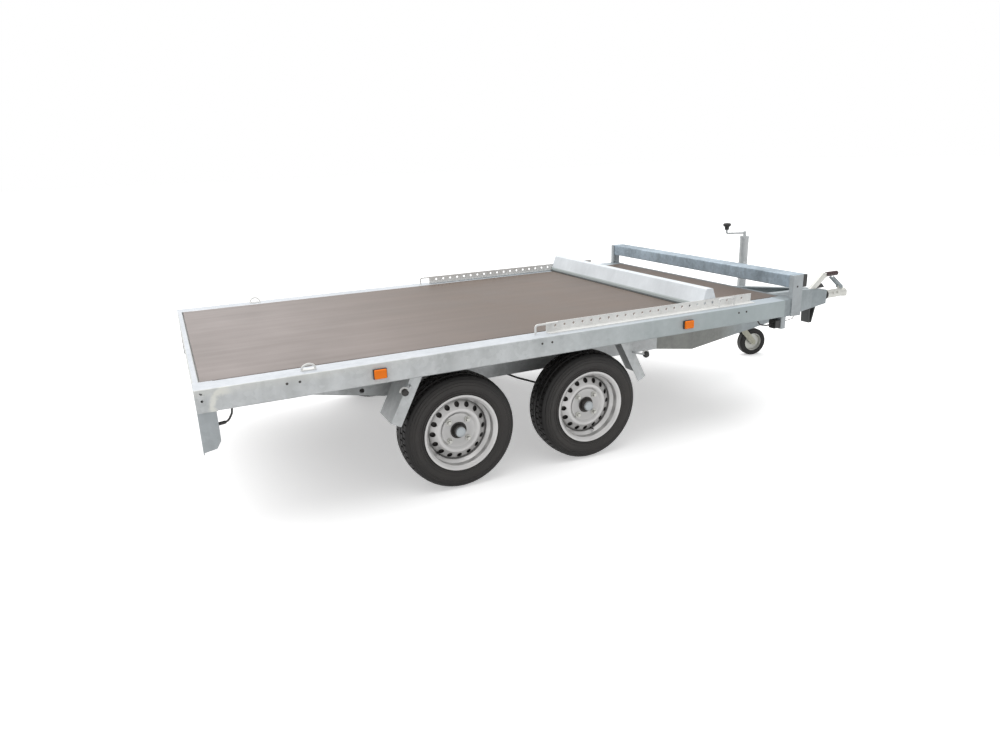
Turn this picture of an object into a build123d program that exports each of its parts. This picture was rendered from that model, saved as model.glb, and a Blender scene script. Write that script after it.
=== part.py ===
from build123d import *
import os
from math import atan2, cos, degrees, hypot, radians, sin, tan

os.makedirs("parts", exist_ok=True)

# Millimetres. X runs forward to the coupling, Y to the left, Z up from the ground.
# Lengths along the trailer are given from the frame's rear face.

# Frame and deck
FRAME_W = 1750.0          # outside width over the side rails
RAIL_END = 2995.0         # front end of the side rails
FRAME_FRONT = 3085.0      # front face of the front cross member
RAIL_H = 93.0             # height of the side rail's face
SIDE_FLANGE = 108.0       # top flange of a side rail
END_FLANGE = 26.0         # top flange of the rear and front members
FOOT_FLANGE = 60.0        # bottom flange of every frame member
CORNER_L = 75.0           # length of the corner caps at the rear
CORNER_HOLE_X = 24.0
CORNER_HOLE_R = 5.0
CORNER_HOLES = (17.0, 46.0)  # holes in the corner caps, below the deck
SHEET = 4.0               # folded sheet of the frame
BEND_R = 3.0              # inside radius of the folds
PLY = 15.0                # deck board
LEDGE = 22.0              # shelf that carries the ends of the deck board
DECK_GAP = 4.0            # gap between the deck boards and the frame
PANEL_JOINT = 2.0         # joint between the two boards, at the rear foot of the wheel stop
BEARER_W = 50.0
BEARER_SHEET = 3.0
BEARERS = 6

# Chassis beams and drawbar
BEAM_Y = 500.0            # outer face of a chassis beam
BEAM_FLANGE = 50.0
BEAM_H = 184.0            # depth of a chassis beam under the rails
BEAM_REAR = 90.0
BEAM_TIP_H = 45.0         # depth left at the tapered rear tip
BEAM_FULL = 830.0         # where the taper reaches the full depth
BEAM_FRONT = 2430.0
BEAM_HOLE_X = 723.0
BEAM_HOLE_UP = 44.0
BEAM_HOLE_R = 12.0
ARM_SHEET = 5.0
ARM_DROP = 92.0           # underside of the drawbar below the coupling shaft
ARM_DEEP = 2760.0         # where the drawbar arm reaches its full depth
ARM_RISE = 20.0           # rise of its underside from there to the nose
NOSE_REAR = 4150.0
NOSE_FRONT = 4296.0
NOSE_W = 100.0
NOSE_RISE_REAR = 67.0     # top of the nose above the coupling shaft, at its rear
NOSE_RISE_FRONT = 47.0
NOSE_DROP_FRONT = 53.0
ROD_R = 6.0               # brake rod
ROD_Z = 440.0
EQUALISER_X = 1420.0
EQUALISER_L = 320.0
EQUALISER_H = 36.0
EQUALISER_T = 20.0
EQUALISER_TIP = 20.0      # height of the bar at its ends
CABLE_R = 5.0
CABLE_CLEAR = 14.0        # under the chassis beams

# Coupling and brake lever
BELLOWS_L = 46.0
BELLOWS_R = 36.0
BELLOWS_FOLDS = 4
SHAFT_R = 24.0
SHAFT_Z = 428.0           # coupling height
BALL_R = 25.0             # tow ball
BALL_CLEAR = 0.5
HEAD_WALL = 9.0
THROAT_WALL = 7.0         # collar of the head round the shaft
LUG_L = 24.0              # lug that carries the coupling handle
LUG_H = 18.0
LUG_BACK = 25.0           # lug behind the ball
BALL_REACH = 174.0        # from the end of the bellows to the ball centre
HANDLE_GAP = 12.0         # half the gap between the coupling handle's cheeks
HANDLE_T = 4.0
HANDLE_L = 96.0           # reach of the handle's grip bar behind the lug
HANDLE_H = 83.0
HANDLE_BAR_R = 7.0
LEVER_T = 8.0
LEVER_Y = -30.0
LEVER_X = 4172.0          # foot of the brake lever
LEVER_FOOT = 44.0
LEVER_H = 26.0
GRIP_R = 16.0
GRIP_X = 4300.0
GRIP_RISE = 157.0         # grip above the coupling shaft
GRIP_L = 105.0
GRIP_STUB = 36.0          # straight end of the lever behind the grip

# Running gear
AXLE_REAR = 1088.0        # rear wheels' axle
AXLE_SPACING = 692.0
TRACK = 1500.0
TYRE_R = 276.0
TYRE_W = 165.0
TYRE_ROOM = 37.0          # from the top of a tyre to the frame
TYRE_WALL = 11.0          # side wall
TREAD_T = 22.0            # tread and belt
TREAD_INSET = 16.0        # tread's edge from the widest part of the tyre
SHOULDER = 12.0           # drop of the rounded shoulder
CROWN = 3.0               # drop of the tread's arc at its edges
RIM_R = 182.6             # over the rim flange
RIM_FLANGE = 17.5         # height of the rim flange over the bead seat
RIM_W = 150.0             # over the rim flanges
RIM_SHEET = 4.0
RIM_WELL = 16.0           # depth of the well under the bead seats
SEAT_W = 26.0             # bead seat
BEAD_PLAY = 2.0           # bead from the flange
DISH = 26.0               # depth of the wheel's dished disc
DISC_FLAT_R = 82.0        # flat middle of the disc, on the hub
DISC_RING = (94.0, 104.0) # raised ring round it
DISC_RISE = 8.0           # ring above the flat
WHEEL_OFFSET = 30.0       # mounting face outboard of the wheel's middle plane
VENTS = 16
VENT_R = 12.5
VENT_PCD = 252.0
STUDS = 4
STUD_PCD = 130.0
STUD_TURN = 45.0          # first stud, as parked
STUD_HOLE_R = 7.5
CENTRE_R = 32.0
CAP_H = 32.0              # grease cap
DRUM_R = 112.0
DRUM_W = 68.0
BACKPLATE = 4.0
SPINDLE_R = 17.5
RUN_CLEAR = 0.3           # radial clearance of a turning fit
SIDE_CLEAR = 6.0          # clearance beside a turning piece
AXLE_AF = 80.0            # across the flats of the hexagonal axle tube
AXLE_SEAT = 8.0
ARM_REACH = 150.0         # the wheel trails the axle tube by this much
ARM_PLATE = 25.0
ARM_BOSS = 47.0           # boss between the trailing arm and the backplate
ARM_END_R = 46.0          # arm round the axle tube
ARM_TIP_R = 36.0          # arm round the spindle
BOSS_R = 34.0
SEAT_L = 120.0            # axle seat under a chassis beam

# Jockey wheel
JOCKEY_X = 3735.0
JOCKEY_STANDOFF = 65.0    # tube axis to the outer face of the drawbar arm
JOCKEY_TUBE_R = 30.0
JOCKEY_WALL = 4.0
JOCKEY_TOP = 880.0
JOCKEY_WHEEL_R = 100.0
JOCKEY_WHEEL_W = 60.0
JOCKEY_TRAIL = 110.0
JOCKEY_TURN = -14.0       # the wheel as parked, from straight ahead
JOCKEY_UP = 85.0          # travel of the leg from its parked place
JOCKEY_PIN_R = 10.0
JOCKEY_RIM_R = 64.0
TYRE_ROUND = 12.0         # rounded edge of the jockey tyre
KINGPIN_H = 18.0          # swivel pin above the fork's crown
LEG_ROOM = 260.0          # free height over the leg in its tube
LEG_FLANGE = 6.0
CROWN_T = 16.0
CROWN_ROOM = 22.0         # from the jockey tyre to the crown
FORK_SHEET = 4.0
FORK_REAR = 26.0
FORK_FRONT = 30.0
FORK_END_R = 17.0
COLLAR_H = 14.0
COLLAR_T = 2.5
CLAMP_H = 90.0
CLAMP_WALL = 9.0
CLAMP_PLATE = (120.0, 8.0, 120.0)
CLAMP_WEB = 44.0
EAR = (30.0, 32.0, 45.0)
EAR_SLIT = 6.0
CRANK_R = 7.0
CRANK_REACH = 150.0
CRANK_SIDE = 20.0
CRANK_RISE = 53.0
CRANK_BOSS = (11.0, 34.0) # radius and height
JOCKEY_KNOB_R = 23.0

# Load gear on the deck
STOP_REAR = 2485.0
STOP_BASE = 98.0
STOP_TOP = 38.0
STOP_H = 102.0
STOP_UPRIGHT = 18.0       # upright foot of its sides
STOP_SLIT = 6.0           # slit under its end plates
STOP_SHEET = 3.0
STOP_FOOT = 14.0
GUIDE_REAR = 1550.0
GUIDE_FRONT = 2815.0
GUIDE_INSET = 78.0        # guide plate from the outside of the side rail
GUIDE_H = 48.0
GUIDE_FOOT = 38.0
GUIDE_PITCH = 50.0
GUIDE_HOLE_R = 6.5
GUIDE_HOLE_UP = 29.0
LOOP_R = 5.0
LOOP_L = 60.0
STAPLE_X = 2571.0         # lashing staple on the guide's foot
STAPLE_L = 102.0
STAPLE_H = 46.0
STAPLE_R = 4.0
WELD = 1.0                # depth of a weld between a bar and a plate
RING_X = 437.0
RING_R = 32.0
RING_BAR = 4.5
RING_PLATE = (60.0, 28.0, 4.0)
RING_LEAN = 0.6           # slope of the ring at rest

# Front board
POST_REAR = 3045.0
POST_W = 70.0
POST_T = 5.0
POST_LIP = 30.0
POST_TAIL = 3.0           # foot of the post below the rails
BOARD_DEPTH = 100.0
BOARD_H = 70.0
BOARD_RISE = 129.0        # top of the board above the deck
BOARD_WALL = 4.0
BOARD_ROUND = 6.0
PLUG_T = 4.0

# Mudguards and lamps
GUARD_SHEET = 4.0
GUARD_FLANGE = 50.0
GUARD_CLEAR_TOP = 60.0    # from the tyre at the top of the guard
GUARD_CLEAR_FOOT = 22.0   # from the tyre at its foot
GUARD_DROP = 227.0        # foot of the guard below the rails
GUARD_TOP = 180.0         # run of the guard's top ahead of the axle, at the rails
GUARD_W = 170.0
GUARD_INSET = 45.0        # guard from the outside of the side rail
GUARD_CHAMFER = 45.0
KNOB_R = 16.5
KNOB_OUT = 22.0           # knob's middle from the guard's outer face
KNOB_STUD = 5.0
KNOB_SEAT = 4.0           # depth of the flat that seats the knob on its stud
STUD_BEND = 8.0
KNOB_DOWN = (74.0, 114.0) # knobs down the slope of the rear and front guards
KNOB_PAST = (5.0, 40.0)   # knobs past the guards' outer edges
STUD_DOWN = (42.0, 68.0)  # foot of the stud down the slope
STUD_IN = 10.0            # foot of the stud inside the edge
BRACKET_DROP = 163.0      # foot of the lamp guard below the rails
BRACKET_L = 70.0
BRACKET_SHEET = 4.0
BRACKET_INSET = 6.0       # lamp guard from the outside of the side rail
BRACKET_LIP = 20.0        # rear lip, turned in
LIP_TAIL = 8.0            # lip below the cheek
BRACKET_CHAMFER = (18.0, 30.0)
BRACKET_RISE = 10.0       # slope of the cheek's foot
LAMP_SIDE = 2.0           # lamp from the lamp guard
LAMP_ROUND = 10.0
LAMP_W = 200.0
LAMP_H = 120.0
LAMP_D = 45.0
MARKER_X = (716.0, 2330.0)
MARKER_L = 60.0
MARKER_H = 43.0
MARKER_D = 18.0
MARKER_ROUND = 5.0
FRONT_LAMP_BACK = 8.0     # lamp tab from the front end of the rail
FRONT_LAMP_INSET = 13.0
FRONT_LAMP_DROP = 15.0
FRONT_LAMP_ROUND = 8.0
TAB_T = 4.0
TAB_EDGE = 5.0            # tab beyond the lamp
TAB_CHEEK = 30.0          # outer edge of the tab, folded forward
FRONT_LAMP_W = 48.0
FRONT_LAMP_H = 48.0
FRONT_LAMP_D = 38.0
LEAD_R = 4.0
LEAD_BEND = 28.0
WIRE_R = 2.0

# Wheel chock
CHOCK_X = 4151.0
CHOCK_L = 62.0
CHOCK_H = 112.0
CHOCK_W = 72.0
CHOCK_WALL = 8.0
CHOCK_LEAN = (5.0, 30.0)  # slope of its rear and front legs

# Worked out from the sizes above
BALL_X = NOSE_FRONT + BELLOWS_L + BALL_REACH
OVERALL_L = BALL_X + BALL_R + BALL_CLEAR + HEAD_WALL
REAR_X = -OVERALL_L / 2
HALF_W = FRAME_W / 2
AXLE_X = (AXLE_REAR, AXLE_REAR + AXLE_SPACING)
WHEEL_Z = TYRE_R
RAIL_Z = 2 * TYRE_R + TYRE_ROOM
DECK_Z = RAIL_Z + RAIL_H
BOARD_TOP = DECK_Z + BOARD_RISE
BEAM_BOTTOM = RAIL_Z - BEAM_H
ARM_BOTTOM = SHAFT_Z - ARM_DROP
NOSE_TOP_REAR = SHAFT_Z + NOSE_RISE_REAR
NOSE_TOP_FRONT = SHAFT_Z + NOSE_RISE_FRONT
NOSE_BOTTOM_REAR = ARM_BOTTOM + ARM_RISE
NOSE_BOTTOM_FRONT = SHAFT_Z - NOSE_DROP_FRONT
HEAD_R = BALL_R + BALL_CLEAR + HEAD_WALL
HANDLE_Z = SHAFT_Z + HEAD_R + WELD
GRIP_Z = SHAFT_Z + GRIP_RISE
BEAD_R = RIM_R - RIM_FLANGE
GUARD_Y = HALF_W - GUARD_INSET
GUARD_FOOT_Z = RAIL_Z - GUARD_DROP
BRACKET_Y = HALF_W - BRACKET_INSET
BRACKET_FOOT = RAIL_Z - BRACKET_DROP
FRONT_LAMP_X = RAIL_END - FRONT_LAMP_BACK
PLY_Z = DECK_Z - PLY
BEARER_Z = RAIL_Z + SHEET
FLANGE_Y = HALF_W - SIDE_FLANGE
WHEEL_Y = TRACK / 2
NOSE_HALF = NOSE_W / 2
ARM_RUN = hypot(NOSE_REAR - BEAM_FRONT, BEAM_Y - NOSE_HALF)
ARM_TURN = degrees(atan2(BEAM_Y - NOSE_HALF, NOSE_REAR - BEAM_FRONT))
AXLE_Z = BEAM_BOTTOM - AXLE_SEAT - AXLE_AF / 2
DRUM_BACK = WHEEL_Y + WHEEL_OFFSET - DRUM_W
BACKPLATE_Y = DRUM_BACK - SIDE_CLEAR - BACKPLATE
AXLE_END = BACKPLATE_Y - ARM_BOSS - ARM_PLATE
ARM_SLOPE = tan(radians(ARM_TURN))
JOCKEY_Y = NOSE_HALF + (NOSE_REAR - JOCKEY_X) * ARM_SLOPE + JOCKEY_STANDOFF
CROWN_Z = 2 * JOCKEY_WHEEL_R + CROWN_ROOM
LEG_FOOT = CROWN_Z + CROWN_T + RUN_CLEAR
LEG_R = JOCKEY_TUBE_R - JOCKEY_WALL - RUN_CLEAR
TUBE_FOOT = LEG_FOOT + KINGPIN_H + JOCKEY_UP + SIDE_CLEAR


def at(x):
    """Place along the trailer, from its distance to the rear face."""
    return REAR_X + x


def block(x0, x1, y0, y1, z0, z1):
    """Plate or bar between two opposite corners."""
    middle = Pos((x0 + x1) / 2, (y0 + y1) / 2, (z0 + z1) / 2)
    return middle * Box(abs(x1 - x0), abs(y1 - y0), abs(z1 - z0))


def other_side(shape):
    return mirror(shape, about=Plane.XZ)


def both_sides(shape):
    return Compound(children=[shape, other_side(shape)])


def outline(points):
    return make_face(Polyline(*points, close=True))


def folded(points, sheet, radius=BEND_R):
    """Section of a sheet folded along points, with the sheet on the left of that line."""
    steps = [(b[0] - a[0], b[1] - a[1]) for a, b in zip(points, points[1:])]
    normals = [(-dy / hypot(dx, dy), dx / hypot(dx, dy)) for dx, dy in steps]
    inside = []
    for i, (px, py) in enumerate(points):
        before = normals[max(i - 1, 0)]
        after = normals[min(i, len(normals) - 1)]
        reach = sheet / (1 + before[0] * after[0] + before[1] * after[1])
        inside.append((px + reach * (before[0] + after[0]), py + reach * (before[1] + after[1])))
    face = outline(list(points) + inside[::-1])
    for i in range(1, len(points) - 1):
        left = normals[i - 1][0] * normals[i][1] - normals[i - 1][1] * normals[i][0] > 0
        near, far = (inside[i], points[i]) if (left == (sheet > 0)) else (points[i], inside[i])
        for corner, bend in ((near, radius), (far, radius + abs(sheet))):
            vertex = min(face.vertices(), key=lambda v: hypot(v.X - corner[0], v.Y - corner[1]))
            face = fillet(vertex, bend)
    return face


def along_x(section, x0, x1):
    """Extrude a section drawn in Y and Z along the trailer."""
    return extrude(Plane((x0, 0, 0), x_dir=(0, 1, 0), z_dir=(1, 0, 0)) * section, x1 - x0)


def along_y(section, y0, y1):
    """Extrude a section drawn in X and Z across the trailer."""
    return extrude(Plane((0, y1, 0), x_dir=(1, 0, 0), z_dir=(0, -1, 0)) * section, y1 - y0)


def turned(section, x, y, z, side=1):
    """Revolve a section drawn in radius and outboard reach about a wheel's axle."""
    plane = Plane((x, y, z), x_dir=(0, 0, 1), z_dir=(-1, 0, 0))
    solid = revolve(plane * section, Axis((x, y, z), (0, 1, 0)))
    return solid if side > 0 else mirror(solid, about=Plane((x, y, z), z_dir=(0, 1, 0)))


def rod(start, end, radius):
    """Round bar between two points."""
    run = Vector(*end) - Vector(*start)
    return extrude(Plane(start, z_dir=run) * Circle(radius), run.length)


def trimmed(piece, *others):
    """Cut a piece back to the faces that it meets."""
    for other in others:
        piece -= other
    return piece


def bent_bar(points, radius, bends):
    """Round bar along a route with rounded corners."""
    path = FilletPolyline(*points, radius=bends)
    return sweep(Plane(path @ 0, z_dir=path % 0) * Circle(radius), path)


# Frame

def side_rail():
    inner = HALF_W - FOOT_FLANGE
    section = folded([(inner, RAIL_Z), (HALF_W, RAIL_Z), (HALF_W, DECK_Z), (FLANGE_Y, DECK_Z),
                      (FLANGE_Y, PLY_Z)], SHEET)
    return along_x(section, at(CORNER_L), at(RAIL_END))


def end_section(face_x, inward):
    """Section of the rear or front member, from its outer face and the way inward."""
    steps = [(FOOT_FLANGE, RAIL_Z), (0, RAIL_Z), (0, DECK_Z), (END_FLANGE, DECK_Z),
             (END_FLANGE, PLY_Z), (END_FLANGE + LEDGE, PLY_Z)]
    return folded([(face_x + inward * dx, z) for dx, z in steps], -inward * SHEET)


def corner_cap(half):
    """Section of the cap that closes a corner of the frame."""
    return folded([(half, RAIL_Z), (half, DECK_Z), (FLANGE_Y, DECK_Z)], SHEET)


def rear_cross_member():
    member = along_y(end_section(at(0), 1), -HALF_W + SHEET, HALF_W - SHEET)
    cap = along_x(corner_cap(HALF_W), at(0), at(CORNER_L))
    for drop in CORNER_HOLES:
        cap -= rod((at(CORNER_HOLE_X), HALF_W - 2 * SHEET, DECK_Z - drop),
                   (at(CORNER_HOLE_X), HALF_W + SHEET, DECK_Z - drop), CORNER_HOLE_R)
    return member + cap + other_side(cap)


def front_cross_member():
    half = HALF_W - POST_T
    member = along_y(end_section(at(FRAME_FRONT), -1), -half + SHEET, half - SHEET)
    cap = along_x(corner_cap(half), at(RAIL_END), at(FRAME_FRONT))
    return member + cap + other_side(cap)


def deck_bearers():
    reach = HALF_W - SHEET - BEND_R
    first = CORNER_L + BEARER_W
    last = RAIL_END - 2 * BEARER_W
    bearers = []
    for i in range(BEARERS):
        x = at(first + (last - first) * i / (BEARERS - 1))
        points = [(x + BEARER_W, BEARER_Z), (x, BEARER_Z), (x, PLY_Z), (x + BEARER_W, PLY_Z)]
        bearers.append(along_y(folded(points, -BEARER_SHEET), -reach, reach))
    return Compound(children=bearers)


def deck_panel(x0, x1):
    half = FLANGE_Y - DECK_GAP
    return block(at(x0), at(x1), -half, half, PLY_Z, DECK_Z)


def deck_panel_rear():
    return deck_panel(END_FLANGE + DECK_GAP, STOP_REAR - STOP_FOOT - PANEL_JOINT)


def deck_panel_front():
    return deck_panel(STOP_REAR - STOP_FOOT, FRAME_FRONT - END_FLANGE - DECK_GAP)


# Chassis and drawbar

def tray(profile, sheet, depth):
    """Pressed channel: a web with its edges folded round, from the web's outline."""
    hollow = Pos(0, 0, sheet) * extrude(offset(profile, amount=-sheet, kind=Kind.INTERSECTION), depth)
    return extrude(profile, depth) - hollow


def chassis_beam():
    top = BEARER_Z
    profile = outline([(at(BEAM_REAR), top - BEAM_TIP_H), (at(BEAM_FULL), BEAM_BOTTOM),
                       (at(BEAM_FRONT), BEAM_BOTTOM), (at(BEAM_FRONT), top), (at(BEAM_REAR), top)])
    web = Plane((0, BEAM_Y, 0), x_dir=(1, 0, 0), z_dir=(0, -1, 0))
    hole = rod((at(BEAM_HOLE_X), BEAM_Y - 2 * SHEET, BEAM_BOTTOM + BEAM_HOLE_UP),
               (at(BEAM_HOLE_X), BEAM_Y + SHEET, BEAM_BOTTOM + BEAM_HOLE_UP), BEAM_HOLE_R)
    return web * tray(profile, SHEET, BEAM_FLANGE) - hole


def arm_plane():
    """Outer face of the left drawbar arm, with X along the arm from its rear end."""
    heading = (cos(radians(ARM_TURN)), -sin(radians(ARM_TURN)), 0)
    across = (-sin(radians(ARM_TURN)), -cos(radians(ARM_TURN)), 0)
    return Plane((at(BEAM_FRONT), BEAM_Y, 0), x_dir=heading, z_dir=across)


def drawbar_arm():
    stretch = ARM_RUN / (NOSE_REAR - BEAM_FRONT)
    front = (FRAME_FRONT - BEAM_FRONT) * stretch
    deep = (ARM_DEEP - BEAM_FRONT) * stretch
    profile = outline([(0, BEAM_BOTTOM), (deep, ARM_BOTTOM), (ARM_RUN, NOSE_BOTTOM_REAR),
                       (ARM_RUN, NOSE_TOP_REAR), (front, RAIL_Z), (0, RAIL_Z)])
    arm = arm_plane() * tray(profile, ARM_SHEET, BEAM_FLANGE)
    keep = block(at(BEAM_FRONT), at(NOSE_REAR), 0, HALF_W, 0, DECK_Z)
    rod_hole = rod((at(FRAME_FRONT), 0, ROD_Z), (at(NOSE_REAR), 0, ROD_Z), ROD_R + SIDE_CLEAR)
    return (arm & keep) - rod_hole


def nose_line(z_rear, z_front, x):
    """Height of the nose's sloping top or bottom at a place along the trailer."""
    return z_rear + (z_front - z_rear) * (x - NOSE_REAR) / (NOSE_FRONT - NOSE_REAR)


def nose_top(x):
    return nose_line(NOSE_TOP_REAR, NOSE_TOP_FRONT, x)


def nose_bottom(x):
    return nose_line(NOSE_BOTTOM_REAR, NOSE_BOTTOM_FRONT, x)


def overrun_housing():
    profile = outline([(at(NOSE_REAR), NOSE_BOTTOM_REAR), (at(NOSE_FRONT), NOSE_BOTTOM_FRONT),
                       (at(NOSE_FRONT), NOSE_TOP_FRONT), (at(NOSE_REAR), NOSE_TOP_REAR)])
    shell = along_y(profile, -NOSE_HALF, NOSE_HALF)
    hollow = along_y(offset(profile, amount=-ARM_SHEET, kind=Kind.INTERSECTION),
                     -NOSE_HALF + ARM_SHEET, NOSE_HALF - ARM_SHEET)
    shaft_hole = rod((at(NOSE_FRONT) - 2 * ARM_SHEET, 0, SHAFT_Z), (at(NOSE_FRONT) + ARM_SHEET, 0, SHAFT_Z),
                     SHAFT_R + RUN_CLEAR)
    return shell - hollow - shaft_hole


# Brakes

def brake_linkage():
    """Brake rod from the overrun housing back to the equaliser bar between the axles."""
    bar = rod((at(EQUALISER_X), 0, ROD_Z), (at(NOSE_REAR), 0, ROD_Z), ROD_R)
    half, tip = EQUALISER_L / 2, EQUALISER_TIP / 2
    section = outline([(-half, ROD_Z - tip), (0, ROD_Z - EQUALISER_H / 2), (half, ROD_Z - tip),
                       (half, ROD_Z + tip), (0, ROD_Z + EQUALISER_H / 2), (-half, ROD_Z + tip)])
    return bar + along_x(section, at(EQUALISER_X) - EQUALISER_T, at(EQUALISER_X))


def brake_cables():
    """Sheathed cables from the equaliser under the chassis beams to the backplates."""
    rear_face, front_face = EQUALISER_X - EQUALISER_T, EQUALISER_X
    inside = EQUALISER_L / 2 - 2 * CABLE_R
    under = BEAM_BOTTOM - CABLE_R - CABLE_CLEAR
    out = BACKPLATE_Y - BEAM_Y
    slope = (AXLE_Z - WHEEL_Z) / ARM_REACH
    rear, front = AXLE_X
    to_front = [(front_face, inside, ROD_Z), (front_face + 26, inside + 90, ROD_Z - 8),
                (front_face + 60, BEAM_Y - 120, under + 12), (front_face + 112, BEAM_Y + 0.10 * out, under),
                (front - 170, BEAM_Y + 0.55 * out, WHEEL_Z + 92),
                (front - 84, BEAM_Y + 0.83 * out, WHEEL_Z + 58), (front - 60, BACKPLATE_Y, WHEEL_Z + 48)]
    to_rear = [(rear_face, inside, ROD_Z), (rear_face - 24, inside + 90, ROD_Z - 8),
               (rear_face - 52, BEAM_Y - 120, under + 12), (rear_face - 80, BEAM_Y + 0.08 * out, under),
               (rear + 170, BEAM_Y + 0.42 * out, AXLE_Z + 72),
               (rear + 96, BEAM_Y + 0.69 * out, WHEEL_Z + 96 * slope + 80),
               (rear + 34, BEAM_Y + 0.93 * out, WHEEL_Z + 34 * slope + 72),
               (rear + 24, BACKPLATE_Y, WHEEL_Z + 76)]
    cables = [bent_bar([(at(x), y, z) for x, y, z in route], CABLE_R, bends)
              for route, bends in ((to_front, 30.0), (to_rear, 16.0))]
    met = [brake_backplate(x, 1) for x in AXLE_X] + [brake_linkage()]
    cables = [trimmed(cable, *met) for cable in cables]
    return Compound(children=[c for cable in cables for c in (cable, other_side(cable))])


# Coupling

def coupling_bellows():
    x0 = at(NOSE_FRONT)
    fold = BELLOWS_L / BELLOWS_FOLDS
    ridge = [(0, SHAFT_R + RUN_CLEAR)]
    for i in range(BELLOWS_FOLDS):
        ridge += [(i * fold, BELLOWS_R - fold / 2), ((i + 0.5) * fold, BELLOWS_R)]
    ridge += [(BELLOWS_L, BELLOWS_R - fold / 2), (BELLOWS_L, SHAFT_R + RUN_CLEAR)]
    section = outline([(x0 + dx, r) for dx, r in ridge])
    plane = Plane((0, 0, SHAFT_Z), x_dir=(1, 0, 0), z_dir=(0, -1, 0))
    return revolve(plane * section, Axis((0, 0, SHAFT_Z), (1, 0, 0)))


def coupling_head():
    ball_x = at(BALL_X)
    shaft = rod((at(NOSE_FRONT) - 3 * ARM_SHEET, 0, SHAFT_Z), (ball_x - BALL_R, 0, SHAFT_Z), SHAFT_R)
    throat = rod((at(NOSE_FRONT + BELLOWS_L) + RUN_CLEAR, 0, SHAFT_Z), (ball_x, 0, SHAFT_Z),
                 SHAFT_R + THROAT_WALL)
    dome = Pos(ball_x, 0, SHAFT_Z) * Sphere(HEAD_R)
    skirt = rod((ball_x, 0, SHAFT_Z - BALL_R), (ball_x, 0, SHAFT_Z), HEAD_R)
    below = block(ball_x - 2 * HEAD_R, ball_x + 2 * HEAD_R, -2 * HEAD_R, 2 * HEAD_R,
                  SHAFT_Z - 3 * HEAD_R, SHAFT_Z - BALL_R)
    cup = Pos(ball_x, 0, SHAFT_Z) * Sphere(BALL_R + BALL_CLEAR)
    mouth = rod((ball_x, 0, SHAFT_Z - 2 * BALL_R), (ball_x, 0, SHAFT_Z), BALL_R + BALL_CLEAR)
    lug_x = ball_x - LUG_BACK
    lug = block(lug_x - 2 * LUG_L / 3, lug_x + LUG_L / 3, -HANDLE_GAP, HANDLE_GAP,
                SHAFT_Z + BALL_R + HEAD_WALL / 3, HANDLE_Z + LUG_H)
    return shaft + throat + dome + skirt + lug - below - cup - mouth


def coupling_handle():
    """Two cheeks either side of the head's lug, joined by a grip bar."""
    x, z = at(BALL_X - LUG_BACK), HANDLE_Z
    bar_x, bar_z = x - HANDLE_L, z + HANDLE_H
    round_end = 2 * HANDLE_BAR_R
    plate = outline([(x - LUG_L, z), (x + LUG_L / 2, z), (x + LUG_L / 4, z + LUG_H),
                     (bar_x, bar_z + round_end), (bar_x - round_end, bar_z), (x - LUG_L - HANDLE_T, z + LUG_H)])
    cheek = along_y(plate, HANDLE_GAP, HANDLE_GAP + HANDLE_T)
    reach = HANDLE_GAP + HANDLE_T
    bar = rod((bar_x, -reach, bar_z), (bar_x, reach, bar_z), HANDLE_BAR_R)
    return cheek + other_side(cheek) + bar


def handbrake_lever():
    """Flat lever on the nose's top, with a straight stub for the grip."""
    rear, front, stub = LEVER_X - LEVER_FOOT / 2, LEVER_X + LEVER_FOOT / 2, GRIP_X - GRIP_STUB
    low, high = GRIP_Z - LEVER_H / 2, GRIP_Z + LEVER_H / 2
    plate = outline([(at(rear), nose_top(rear)), (at(front), nose_top(front)), (at(stub), low),
                     (at(GRIP_X), low), (at(GRIP_X), high), (at(stub - LEVER_H / 2), high)])
    return along_y(plate, LEVER_Y - LEVER_T / 2, LEVER_Y + LEVER_T / 2)


def handbrake_grip():
    section = RectangleRounded(2 * GRIP_R, 1.6 * GRIP_R, 0.6 * GRIP_R)
    return extrude(Plane((at(GRIP_X), LEVER_Y, GRIP_Z), x_dir=(0, 1, 0), z_dir=(1, 0, 0)) * section, GRIP_L)


# Running gear

def tyre(x, side):
    """Radial road tyre, open towards its rim."""
    half, bead = TYRE_W / 2, BEAD_R + RUN_CLEAR
    seat = RIM_W / 2 - RIM_FLANGE / 2 - BEAD_PLAY
    over_rim = (RIM_R + BEAD_PLAY, RIM_W / 2 - 2 * BEAD_PLAY)
    belly = (RIM_R + TYRE_R) / 2
    edge = half - TREAD_INSET
    under = TYRE_R - TREAD_T
    inner_belly = (RIM_R + under) / 2
    with BuildSketch() as section:
        with BuildLine():
            Line((bead, seat), over_rim)
            Spline(over_rim, (belly, half), (TYRE_R - SHOULDER, edge + TREAD_INSET / 2))
            Line((TYRE_R - SHOULDER, edge + TREAD_INSET / 2), (TYRE_R - CROWN, edge - CROWN))
            ThreePointArc((TYRE_R - CROWN, edge - CROWN), (TYRE_R, 0), (TYRE_R - CROWN, CROWN - edge))
            Line((TYRE_R - CROWN, CROWN - edge), (TYRE_R - SHOULDER, -edge - TREAD_INSET / 2))
            Spline((TYRE_R - SHOULDER, -edge - TREAD_INSET / 2), (belly, -half), (over_rim[0], -over_rim[1]))
            Line((over_rim[0], -over_rim[1]), (bead, -seat))
            Line((bead, -seat), (bead, TYRE_WALL - seat))
            Spline((bead, TYRE_WALL - seat), (inner_belly, TYRE_WALL - half), (under, TREAD_INSET / 2 - edge))
            Line((under, TREAD_INSET / 2 - edge), (under, edge - TREAD_INSET / 2))
            Spline((under, edge - TREAD_INSET / 2), (inner_belly, half - TYRE_WALL), (bead, seat - TYRE_WALL))
            Line((bead, seat - TYRE_WALL), (bead, seat))
        make_face()
    return turned(section.sketch, at(x), side * WHEEL_Y, WHEEL_Z, side)


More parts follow.
